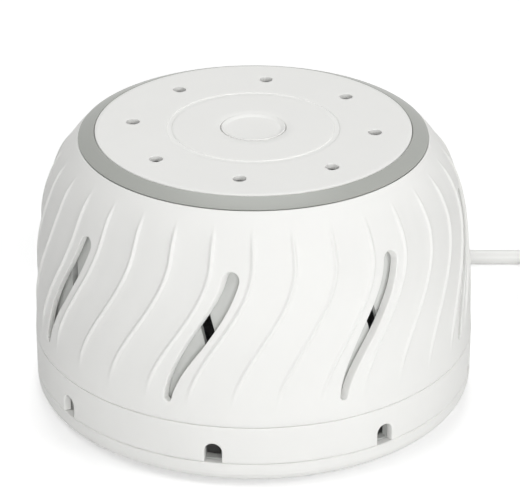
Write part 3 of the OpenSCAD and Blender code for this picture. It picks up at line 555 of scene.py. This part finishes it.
def cap_rows():
    """Levels up the cap: close at the edges and over the crown."""
    edge_round = 0.3
    rows = [(CAP_Z, edge_round), (CAP_Z + 0.1, 0.1), (CAP_Z + edge_round, 0)]
    rows += [(z, 0) for z in spread(CAP_Z + 2, SLOT_LOW - 1.6, 4)]
    rows += [(z, 0) for z in spread(SLOT_LOW - 1.2, SLOT_LOW, 3)[:-1]]
    first = len(rows)
    rows += [(z, 0) for z in spread(SLOT_LOW, SLOT_HIGH, 44)]
    last = len(rows) - 1
    rows += [(z, 0) for z in spread(SLOT_HIGH, SLOT_HIGH + 4, 5)[1:]]
    top = CAP_TOP - edge_round
    steps = 18
    rows += [(top - (top - SLOT_HIGH - 4) * (1 - i / steps) ** 1.4, 0) for i in range(1, steps + 1)]
    rows += [(CAP_TOP - 0.08, 0.1), (CAP_TOP, edge_round)]
    return rows, first, last


def make_cap_shell():
    rows, first, last = cap_rows()
    arc = 14
    levels = [rows[i][0] for i in range(first, last + 1)]
    edge = slot_edge(levels, slot_half, sway, outline_r, arc)
    wall = PiercedWall(
        cap_point, SHELL_WALL, rows, rib_columns(), SLOT_PHASE, sway, edge, first, last,
        arc, reach=4, rim=0.35, near=4)
    piece = mesh_piece("cap_shell_moulding", *wall.shape())
    return dress(piece, "cap", "white_plastic", "cap_shell")


# ---- collar ----

def plain_columns(gap_deg, parts):
    """One cell's even columns, with a gap for the opening."""
    cell = 360 / OPENINGS
    right = spread(gap_deg, cell / 2, parts)
    return [-c for c in reversed(right)] + right


def make_collar():
    edge_round = 0.3
    arch_z = COLLAR_Z - SEAM_GAP + PORT_H - PORT_W / 2
    rows = [(COLLAR_Z, edge_round), (COLLAR_Z + 0.1, 0.1), (COLLAR_Z + edge_round, 0)]
    rows += [(z, 0) for z in spread(COLLAR_Z + 1, arch_z, 3)]
    last = len(rows) - 1
    rows += [(z, 0) for z in spread(arch_z, COLLAR_TOP - edge_round, 7)[1:]]
    rows += [(COLLAR_TOP - 0.1, 0.1), (COLLAR_TOP, edge_round)]
    arc = 14
    edge = slot_edge([r[0] for r in rows[:last + 1]], lambda z: PORT_W / 2, lambda z: 0,
                     lambda z: BODY_R, arc)
    wall = PiercedWall(
        lambda a, z, d: around(a, BODY_R - d, z), COLLAR_WALL, rows, plain_columns(4.5, 8), PORT_PHASE,
        lambda z: 0, edge, 0, last, arc, reach=5, rim=0.35, open_low=True)
    piece = mesh_piece("tone_collar_moulding", *wall.shape())
    return dress(piece, "collar", "white_plastic", "tone_collar")


# ---- trim ring, top plate and button ----

def make_trim_ring():
    base_t, skirt_w, ledge_w = 2.4, 2.6, 2.8
    profile = softened([
        (PLATE_R + SEAT_GAP, RING_Z + base_t, 0),
        (PLATE_R + SEAT_GAP, PLATE_TOP - 0.1, 0.25),
        (RING_R, CAP_TOP + 0.35, 0.15),
        (RING_R, CAP_TOP, 0),
        (RING_R - skirt_w, CAP_TOP, 0),
        (RING_R - skirt_w, RING_Z, 0.3),
        (PLATE_R - ledge_w, RING_Z, 0.3),
        (PLATE_R - ledge_w, RING_Z + base_t, 0.2),
    ])
    piece = mesh_piece("trim_ring_moulding", *lathe(profile, 256), sharp_deg=25)
    return dress(piece, "cap", "grey_plastic", "trim_ring")


def plate_point(angle, radius, depth):
    return around(angle, radius, PLATE_TOP - depth)


def plate_rows():
    """Radii across the top plate with how deep its face lies: rounded rims and the ring groove."""
    hole_r = BUTTON_R + SEAM_GAP
    groove = [(-0.2, 0), (-0.08, 0.04), (0, 0.12), (0.1, GROOVE_DEPTH)]
    rows = [(hole_r, 0.3), (hole_r + 0.1, 0.1), (hole_r + 0.3, 0)]
    rows += [(r, 0) for r in spread(14, GROOVE_IN_R - 1, 3)]
    rows += [(GROOVE_IN_R + out, depth) for out, depth in groove]
    rows += [(GROOVE_OUT_R - out, depth) for out, depth in reversed(groove)]
    rows += [(r, 0) for r in spread(GROOVE_OUT_R + 1, HOLE_RING_R - HOLE_R - 2, 4)]
    reach = HOLE_R * math.sin(math.radians(HOLE_SIDE_DEG))
    rows += [(HOLE_RING_R - HOLE_R - 1, 0)]
    first = len(rows)
    rows += [(HOLE_RING_R - reach, 0), (HOLE_RING_R + reach, 0)]
    rows += [(HOLE_RING_R + HOLE_R + 1, 0)]
    rows += [(r, 0) for r in spread(HOLE_RING_R + HOLE_R + 2, PLATE_R - 1.5, 4)]
    rows += [(PLATE_R - 0.3, 0), (PLATE_R - 0.1, 0.1), (PLATE_R, 0.3)]
    return rows, first


def make_top_plate():
    rows, first = plate_rows()
    arc = 24
    edge = hole_edge(HOLE_RING_R, HOLE_R, arc, HOLE_SIDE_DEG)
    plate = PiercedWall(
        plate_point, PLATE_T, rows, plain_columns(5.5, 10), HOLE_PHASE, lambda r: 0, edge,
        first, first + 1, arc, reach=1, rim=0.2)
    bosses = []
    under, bore_end_t = PLATE_TOP - PLATE_T, 0.6
    for k in range(BOSSES):
        x, y, _ = around(BOSS_PHASE + 360 / BOSSES * k, BOSS_RING_R, 0)
        profile = softened([
            (0, under, 0), (BOSS_R, under, 0),
            (BOSS_R, DECK_TOP + SEAM_GAP, 0.3), (BOSS_BORE_R, DECK_TOP + SEAM_GAP, 0.2),
            (BOSS_BORE_R, under - bore_end_t, 0), (0, under - bore_end_t, 0),
        ])
        bosses.append(lathe(profile, 48, centre=(x, y)))
    piece = mesh_piece("top_plate_moulding", *joined(plate.shape(), *bosses))
    return dress(piece, "cap", "white_plastic", "top_plate")


def make_button():
    profile = softened([
        (0, BUTTON_TOP - BUTTON_WALL, 0),
        (0, BUTTON_TOP - BUTTON_DISH, 0),
        (BUTTON_FLAT_R, BUTTON_TOP - BUTTON_DISH, 1),
        (BUTTON_R - 0.4, BUTTON_TOP, 0.15),
        (BUTTON_R, BUTTON_TOP, 0.2),
        (BUTTON_R, BUTTON_Z, 0.2),
        (BUTTON_R - BUTTON_WALL, BUTTON_Z, 0.2),
        (BUTTON_R - BUTTON_WALL, BUTTON_TOP - BUTTON_WALL, 0.5),
    ], 8)
    piece = mesh_piece("power_button_moulding", *lathe(profile, 160))
    return dress(piece, "button", "white_plastic", "power_button")


def make_spring():
    """The return spring, with a flat turn's end above and below."""
    bottom, top = low("button_spring").z, high("button_spring").z
    radius = high("button_spring").x - SPRING_WIRE_R
    flat = 0.4
    line = []
    for turn in spread(0, SPRING_TURNS, SPRING_TURNS * 40):
        climb = min(1, max(0, (turn - flat) / (SPRING_TURNS - 2 * flat)))
        z = bottom + SPRING_WIRE_R + (top - bottom - 2 * SPRING_WIRE_R) * climb
        line.append(Vector(around(360 * turn, radius, z)))
    piece = mesh_piece("button_spring_coil", *tube(line, SPRING_WIRE_R, 12))
    dress(piece, "base", "bright_steel", "button_spring")
    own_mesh(piece)
    return piece


# ---- cord, strain relief and plug ----

def through(points, parts):
    """A smooth line through given points."""
    line = []
    for i in range(len(points) - 1):
        a, b, c, d = (Vector(points[min(max(k, 0), len(points) - 1)]) for k in range(i - 1, i + 3))
        for t in spread(0, 1, parts)[:-1]:
            line.append(0.5 * (2 * b + (c - a) * t + (2 * a - 5 * b + 4 * c - d) * t ** 2
                               + (3 * b - a - 3 * c + d) * t ** 3))
    return line + [Vector(points[-1])]


def coil_line():
    """The stored turns: inwards on the table, up at the middle, and outwards on top."""
    upper_z = CORD_D * 1.5
    stages = [
        (COIL_TURNS, COIL_OUTER_R, COIL_INNER_R, CORD_D / 2, CORD_D / 2),
        (COIL_CLIMB_TURNS, COIL_INNER_R, COIL_INNER_R, CORD_D / 2, upper_z),
        (COIL_TURNS + 0.25 - COIL_CLIMB_TURNS, COIL_INNER_R, COIL_OUTER_R, upper_z, upper_z),
    ]
    line, turned = [], 0.25
    for turns, r0, r1, z0, z1 in stages:
        for t in spread(0, 1, round(turns * COIL_STEPS))[1:]:
            a = 2 * math.pi * (turned - turns * t)
            r = r0 + (r1 - r0) * t
            line.append(Vector((COIL_X + r * math.cos(a), COIL_Y + r * math.sin(a),
                                z0 + (z1 - z0) * smooth(t))))
        turned -= turns
    return line


def tube(line, radius, sides=20):
    """Points and faces of a round tube along a line, with flat ends and no twist."""
    points, faces = [], []
    side = Vector((1, 0, 0))
    for i, place in enumerate(line):
        along = (line[min(i + 1, len(line) - 1)] - line[max(i - 1, 0)]).normalized()
        side = (side - along * side.dot(along)).normalized()
        up = along.cross(side)
        for k in range(sides):
            a = 2 * math.pi * k / sides
            points.append(place + radius * (math.cos(a) * side + math.sin(a) * up))
    for i in range(len(line) - 1):
        for k in range(sides):
            here, there = i * sides, (i + 1) * sides
            n = (k + 1) % sides
            faces.append([here + k, here + n, there + n, there + k])
    faces.append(list(range(sides)))
    faces.append([len(points) - sides + k for k in range(sides)])
    return points, faces


def make_cord(*ends):
    line = through(CORD_ROUTE, 3) + coil_line()
    tail = line[-1]
    line += [Vector((tail.x, y, tail.z)) for y in spread(tail.y, BOOT_Y - 1, 6)[1:]]
    piece = mesh_piece("mains_cord", *tube(line, CORD_D / 2))
    dress(piece, "base", "cord_vinyl", "power_cord", "cord_coil")


def make_strain_relief():
    """A moulded sleeve with shallow rings, narrower towards its end."""
    inner, start, end = low("strain_relief").y, BODY_R + 0.5, high("strain_relief").y
    bore, neck_r, head_r, head_l = CORD_D / 2, 3.1, 4.2, 2
    rings, ring_r, taper, groove = 7, 3.8, 0.75, 0.5
    corners = [(bore, inner, 0), (neck_r, inner, 0.3), (neck_r, start, 0), (head_r, start, 0.4),
               (head_r, start + head_l, 0.5)]
    pitch = (end - start - head_l) / rings
    for k in range(rings):
        y = start + head_l + k * pitch
        out = ring_r - taper * k / rings
        corners += [(out - groove, y + 0.1, 0.2), (out - groove, y + 0.9, 0.2),
                    (out, y + 1.1, 0.3), (out - 0.05, y + pitch - 0.1, 0.3)]
    corners += [(bore, end, 0)]
    sleeve, faces = lathe(softened(corners), 64)
    sleeve = [(x, z, EXIT_Z - y) for x, y, z in sleeve]
    flange_w, flange_h, flange_from, flange_to = 10, 5.8, 68, 70
    flange = block((-flange_w / 2, flange_from, EXIT_Z - flange_h / 2),
                   (flange_w / 2, flange_to, EXIT_Z + flange_h / 2))
    piece = mesh_piece("strain_relief_sleeve", *joined((sleeve, faces), flange), sharp_deg=25)
    return dress(piece, "base", "cord_vinyl", "strain_relief")


def block(corner, opposite):
    """Points and faces of an upright box."""
    points = [(x, y, z) for x in (corner[0], opposite[0]) for y in (corner[1], opposite[1])
              for z in (corner[2], opposite[2])]
    faces = [(0, 1, 3, 2), (4, 5, 7, 6), (0, 1, 5, 4), (2, 3, 7, 6), (0, 2, 6, 4), (1, 3, 7, 5)]
    return points, faces


def rounded_outline(half_w, half_h, radius, steps=12):
    """Points round a rectangle with round corners; the same number for any size."""
    outline = []
    for k, (sx, sz) in enumerate(((1, 1), (-1, 1), (-1, -1), (1, -1))):
        for t in spread(0, 90, steps):
            a = math.radians(90 * k + t)
            outline.append((sx * (half_w - radius) + radius * math.cos(a),
                            sz * (half_h - radius) + radius * math.sin(a)))
    return outline


def loft(sections):
    """Points and faces of a closed form through (level, outline) sections, capped at both ends."""
    points, faces = [], []
    count = len(sections[0][1])
    for level, outline in sections:
        points += [(x, level, z) for x, z in outline]
    for s in range(len(sections) - 1):
        for k in range(count):
            n = (k + 1) % count
            faces.append([s * count + k, s * count + n, (s + 1) * count + n, (s + 1) * count + k])
    faces.append(list(range(count)))
    faces.append([(len(sections) - 1) * count + k for k in range(count)])
    return points, faces


def make_plug():
    """A moulded plug: a ringed boot that widens into a flat grip with finger ridges."""
    half_w, half_h = (high("plug_body").x - low("plug_body").x) / 2, PLUG_Z
    sections = []

    def add(y, w, h, round_r):
        outline = rounded_outline(w, h, round_r)
        sections.append((y, [(PLUG_X + x, PLUG_Z + z) for x, z in outline]))

    boot_l, boot_r, boot_end_r, boot_rings = 14, 3, 4.5, 6
    taper_l, corner_r, edge = 10, 5, 0.8
    ridges, ridge_pitch, ridge_start = 5, 1.8, 1.2
    apart = 0.01  # keeps the corners' points from falling on each other
    for k in range(boot_rings):
        y = BOOT_Y - boot_l * k / boot_rings
        r = boot_r + (boot_end_r - boot_r) * k / boot_rings
        for along, sunk in ((0, 0), (1.2, 0), (1.45, 0.35), (2.1, 0.35)):
            add(y - along, r - sunk, r - sunk, r - sunk - apart)
    shoulder = BOOT_Y - boot_l
    for t in spread(0, 1, 10):
        s = smooth(t)
        add(shoulder - taper_l * t, boot_end_r + (half_w - boot_end_r) * s,
            boot_end_r + (half_h - boot_end_r) * s, boot_end_r - apart + (corner_r - boot_end_r) * s)
    grip = shoulder - taper_l
    for k in range(ridges):
        y = grip - ridge_start - ridge_pitch * k
        for along, sunk in ((0, 0), (0.3, 0.45), (0.8, 0.45), (1.1, 0)):
            add(y - along, half_w - sunk, half_h - 0.1 * (sunk > 0), corner_r - apart)
    for turn in spread(0, math.pi / 2, 5):
        sunk = edge * (1 - math.cos(turn))
        add(PLUG_FRONT_Y + edge * (1 - math.sin(turn)), half_w - sunk, half_h - sunk, corner_r - sunk)
    piece = mesh_piece("mains_plug_grip", *loft(sections), sharp_deg=40)
    return dress(piece, "base", "cord_vinyl", "plug_body")


def make_blades():
    """Two stamped blades with a hole and bevelled tips."""
    curve = bpy.data.curves.new("blade_outline", "CURVE")
    curve.dimensions = "2D"
    curve.fill_mode = "BOTH"
    edge = 0.2
    curve.extrude = (BLADE_T / 2 - edge) * MM
    curve.bevel_depth = edge * MM
    curve.bevel_resolution = 3
    curve.offset = -edge * MM
    front = low("plug_blades").y
    back = high("plug_blades").y
    half, tip_in, tip_l = BLADE_W / 2, 1.4, 1.6
    hole_r, hole_at = 1.6, front + 4
    outline = [(front, half - tip_in), (front, tip_in - half), (front + tip_l, -half), (back, -half),
               (back, half), (front + tip_l, half)]
    hole = [(hole_at + hole_r * math.cos(a), hole_r * math.sin(a)) for a in spread(0, 2 * math.pi, 32)[:-1]]
    for loop in (outline, hole):
        spline = curve.splines.new("POLY")
        spline.points.add(len(loop) - 1)
        spline.use_cyclic_u = True
        for point, (y, z) in zip(spline.points, loop):
            point.co = (y * MM, z * MM, 0, 1)
    template = bpy.data.objects.new("blade_outline", curve)
    bpy.context.scene.collection.objects.link(template)
    flat = template.to_mesh()
    points, faces = [], []
    for side in (-1, 1):
        base = len(points)
        points += [(PLUG_X + side * BLADE_PITCH / 2 + v.co.z / MM, v.co.x / MM, PLUG_Z + v.co.y / MM)
                   for v in flat.vertices]
        faces += [[base + i for i in f.vertices] for f in flat.polygons]
    template.to_mesh_clear()
    bpy.data.objects.remove(template)
    piece = mesh_piece("mains_plug_blades", points, faces, sharp_deg=25)
    bm = bmesh.new()
    bm.from_mesh(piece.data)
    bmesh.ops.remove_doubles(bm, verts=bm.verts, dist=0.01 * MM)
    finish_mesh(bm, piece.data, 25)
    return dress(piece, "base", "blade_brass", "plug_blades")


# ---- materials ----

finishes = {}

# The places of a Mix node's colour sockets, whose names its other kinds share.
COLOUR_A, COLOUR_B, COLOUR_OUT = 6, 7, 2


def dress(piece, body, slot, *nodes):
    """Gives a new piece its body, the CAD nodes it stands for and its finish."""
    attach(piece, body)
    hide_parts(*nodes)
    piece.data.materials.append(finishes[slot])
    return piece


def noise_node(tree, place, scale, detail=4):
    noise = tree.nodes.new("ShaderNodeTexNoise")
    noise.inputs["Scale"].default_value = scale
    noise.inputs["Detail"].default_value = detail
    tree.links.new(place, noise.inputs["Vector"])
    return noise.outputs["Fac"]


def spread_node(tree, value, low_end, high_end, lowest=0.3, highest=0.7):
    """The value's range lowest to highest, moved to the range low_end to high_end."""
    mapped = tree.nodes.new("ShaderNodeMapRange")
    tree.links.new(value, mapped.inputs["Value"])
    for socket, number in zip(("From Min", "From Max", "To Min", "To Max"),
                              (lowest, highest, low_end, high_end)):
        mapped.inputs[socket].default_value = number
    return mapped.outputs["Result"]


def band_node(tree, place, axis, pitch_mm, waver):
    """Even bands across an axis, for stacked sheets, wound wire or brushed grain."""
    bands = tree.nodes.new("ShaderNodeTexWave")
    bands.wave_type = "BANDS"
    bands.bands_direction = axis
    bands.inputs["Scale"].default_value = 2 * math.pi / (20 * pitch_mm * MM)
    bands.inputs["Distortion"].default_value = waver
    bands.inputs["Detail Scale"].default_value = 2
    tree.links.new(place, bands.inputs["Vector"])
    return bands.outputs["Fac"]


def sum_node(tree, a, b):
    total = tree.nodes.new("ShaderNodeMath")
    tree.links.new(a, total.inputs[0])
    tree.links.new(b, total.inputs[1])
    return total.outputs["Value"]


def make_finish(slot, colour, rough, mottle=0.02, mottle_scale=60, rough_spread=0.05, grain_scale=2500,
                grain_mm=0.01, stretch=(1, 1, 1), bands=None, band_mm=0.0, band_tint=0.0, **sockets):
    """An uneven colour and gloss with a fine grain, and even bands where the finish has them."""
    made = bpy.data.materials.new(slot)
    made.use_nodes = True
    tree = made.node_tree
    shader = tree.nodes["Principled BSDF"]
    for socket, number in sockets.items():
        shader.inputs[socket.replace("_", " ").title().replace("Ior", "IOR")].default_value = number
    place = tree.nodes.new("ShaderNodeTexCoord").outputs["Object"]
    if stretch != (1, 1, 1):
        mapping = tree.nodes.new("ShaderNodeMapping")
        mapping.inputs["Scale"].default_value = stretch
        tree.links.new(place, mapping.inputs["Vector"])
        place = mapping.outputs["Vector"]
    tint = spread_node(tree, noise_node(tree, place, mottle_scale), -mottle, mottle)
    grain = noise_node(tree, place, grain_scale, 2)
    height = spread_node(tree, grain, 0, grain_mm * MM)
    if bands:
        stripes = band_node(tree, place, *bands)
        tint = sum_node(tree, tint, spread_node(tree, stripes, -band_tint, band_tint, 0, 1))
        height = sum_node(tree, height, spread_node(tree, stripes, 0, band_mm * MM, 0, 1))
    colours = tree.nodes.new("ShaderNodeMix")
    colours.data_type = "RGBA"
    colours.clamp_factor = True
    for socket, share in ((COLOUR_A, 0), (COLOUR_B, 2)):
        colours.inputs[socket].default_value = (*[c * share for c in colour], 1)
    tree.links.new(spread_node(tree, tint, 0, 1, -1, 1), colours.inputs["Factor"])
    tree.links.new(colours.outputs[COLOUR_OUT], shader.inputs["Base Color"])
    gloss = noise_node(tree, place, mottle_scale * 3)
    tree.links.new(spread_node(tree, gloss, rough - rough_spread, rough + rough_spread),
                   shader.inputs["Roughness"])
    bump = tree.nodes.new("ShaderNodeBump")
    bump.inputs["Distance"].default_value = 1
    tree.links.new(height, bump.inputs["Height"])
    tree.links.new(bump.outputs["Normal"], shader.inputs["Normal"])
    made.diffuse_color = (*colour, 1)
    finishes[slot] = made


def make_finishes():
    colour = {m["slot"]: m["base_color"] for m in frame["record"]["materials"]}

    def finish(slot, rough, **more):
        make_finish(slot, colour[slot], rough, **more)

    finish("white_plastic", 0.55, mottle=0.006, grain_mm=0.004, specular_ior_level=0.08)
    # drum_plastic is greyer than the white body's plastic: painted shade, so the drum seen through the
    # slots and holes looks as dark as the shade inside them
    finish("drum_plastic", 0.55, mottle=0.006, grain_mm=0.004, specular_ior_level=0.08)
    finish("grey_plastic", 0.3, mottle=0.01, rough_spread=0.01, grain_mm=0.004, specular_ior_level=0.15)
    finish("dark_plastic", 0.4, mottle=0.08, grain_mm=0.006)
    finish("natural_nylon", 0.35, mottle=0.03)
    finish("dark_rubber", 0.75, mottle=0.12, grain_scale=1500, grain_mm=0.03)
    finish("cord_vinyl", 0.36, mottle=0.01, grain_mm=0.004)
    finish("wire_insulation", 0.35, mottle=0.05)
    finish("zinc_steel", 0.32, mottle=0.08, mottle_scale=300, rough_spread=0.1, metallic=1)
    finish("bright_steel", 0.22, mottle=0.04, stretch=(1, 1, 30), grain_scale=400, metallic=1)
    finish("dark_steel", 0.45, mottle=0.1, bands=("Z", 0.5, 0.4), band_mm=0.05, band_tint=0.3,
           metallic=1)
    finish("die_cast_zinc", 0.5, mottle=0.1, mottle_scale=200, grain_scale=900, grain_mm=0.03,
           metallic=1)
    finish("copper", 0.3, mottle=0.08, bands=("X", 0.35, 0.3), band_mm=0.08, band_tint=0.25,
           metallic=1)
    finish("bronze", 0.5, mottle=0.2, mottle_scale=1500, grain_mm=0.02, metallic=1)
    finish("blade_brass", 0.25, mottle=0.03, stretch=(1, 12, 1), grain_scale=300, metallic=1)


def dress_nodes():
    """Gives every CAD node that still shows the finish that the record names for it."""
    for row in frame["record"]["subparts"]:
        node = frame["nodes"][row["node"]]
        for slot in node.material_slots:
            slot.link = "OBJECT"
            slot.material = finishes[row["material_slot"]]


# ---- camera, floor and lights ----

def make_camera():
    camera = bpy.data.cameras.new("camera")
    camera.sensor_width = 36
    camera.lens = camera.sensor_width * FOCAL_PX / PHOTO_W
    holder = bpy.data.objects.new("camera", camera)
    tilt = math.radians(VIEW_ELEVATION)
    back = Vector((0, -math.cos(tilt), math.sin(tilt)))
    holder.location = (Vector(VIEW_TARGET) + back * VIEW_DISTANCE) * MM
    holder.rotation_euler = (math.radians(90 - VIEW_ELEVATION), 0, 0)
    bpy.context.scene.collection.objects.link(holder)
    bpy.context.scene.camera = holder


def white_backdrop_rays(tree):
    """1 for rays that show the background as it is: from the camera, a mirror or glass."""
    path = tree.nodes.new("ShaderNodeLightPath")
    shown = path.outputs["Is Camera Ray"]
    for kind in ("Is Glossy Ray", "Is Transmission Ray"):
        most = tree.nodes.new("ShaderNodeMath")
        most.operation = "MAXIMUM"
        tree.links.new(shown, most.inputs[0])
        tree.links.new(path.outputs[kind], most.inputs[1])
        shown = most.outputs["Value"]
    return shown


def make_world():
    world = bpy.data.worlds.new("studio")
    world.use_nodes = True
    tree = world.node_tree
    plain = tree.nodes["Background"]
    plain.inputs["Color"].default_value = (1, 1, 1, 1)
    strength = spread_node(tree, white_backdrop_rays(tree), WORLD_LIGHT, 1, 0, 1)
    tree.links.new(strength, plain.inputs["Strength"])
    bpy.context.scene.world = world


def make_floor():
    """A wide pale floor, a little lighter to the camera than the light on it makes it."""
    made = bpy.data.materials.new("floor")
    made.use_nodes = True
    tree = made.node_tree
    shader = tree.nodes["Principled BSDF"]
    shader.inputs["Base Color"].default_value = (*FLOOR_COLOUR, 1)
    shader.inputs["Roughness"].default_value = 0.9
    shader.inputs["Specular IOR Level"].default_value = 0.1
    shader.inputs["Emission Color"].default_value = (1, 1, 1, 1)
    away = tree.nodes.new("ShaderNodeVectorMath")
    away.operation = "LENGTH"
    tree.links.new(tree.nodes.new("ShaderNodeTexCoord").outputs["Object"], away.inputs[0])
    lift = tree.nodes.new("ShaderNodeMath")
    lift.operation = "MULTIPLY"
    tree.links.new(white_backdrop_rays(tree), lift.inputs[0])
    tree.links.new(spread_node(tree, away.outputs["Value"], FLOOR_LIFT, FLOOR_FAR_LIFT,
                               FLOOR_NEAR, FLOOR_FAR), lift.inputs[1])
    tree.links.new(lift.outputs["Value"], shader.inputs["Emission Strength"])
    mesh = bpy.data.meshes.new("floor")
    half = FLOOR_HALF * MM
    mesh.from_pydata([(-half, -half, 0), (half, -half, 0), (half, half, 0), (-half, half, 0)], [],
                     [(0, 1, 2, 3)])
    mesh.materials.append(made)
    floor = bpy.data.objects.new("floor", mesh)
    bpy.context.scene.collection.objects.link(floor)


def make_lamps():
    """Soft boxes, each at an angle from the front, a height angle and a distance, all aimed at the body."""
    aim = Vector((0, 0, BODY_MID_Z)) * MM
    for name, azimuth, elevation, distance, size, power in LAMPS:
        lamp = bpy.data.lights.new(name, "AREA")
        lamp.shape = "DISK"
        lamp.size = size
        lamp.energy = power
        holder = bpy.data.objects.new(name, lamp)
        level = math.cos(math.radians(elevation)) * distance
        x, y, _ = around(azimuth, level, 0)
        holder.location = aim + Vector((x, y, math.sin(math.radians(elevation)) * distance))
        holder.rotation_euler = (aim - holder.location).to_track_quat("-Z", "Y").to_euler()
        bpy.context.scene.collection.objects.link(holder)


bpy.context.scene.view_settings.view_transform = "Standard"
make_finishes()
make_camera()
make_world()
make_floor()
make_lamps()
dress_nodes()
make_cap_shell()
make_collar()
make_trim_ring()
make_top_plate()
make_button()
make_spring()
make_cord(make_strain_relief(), make_plug(), make_blades())
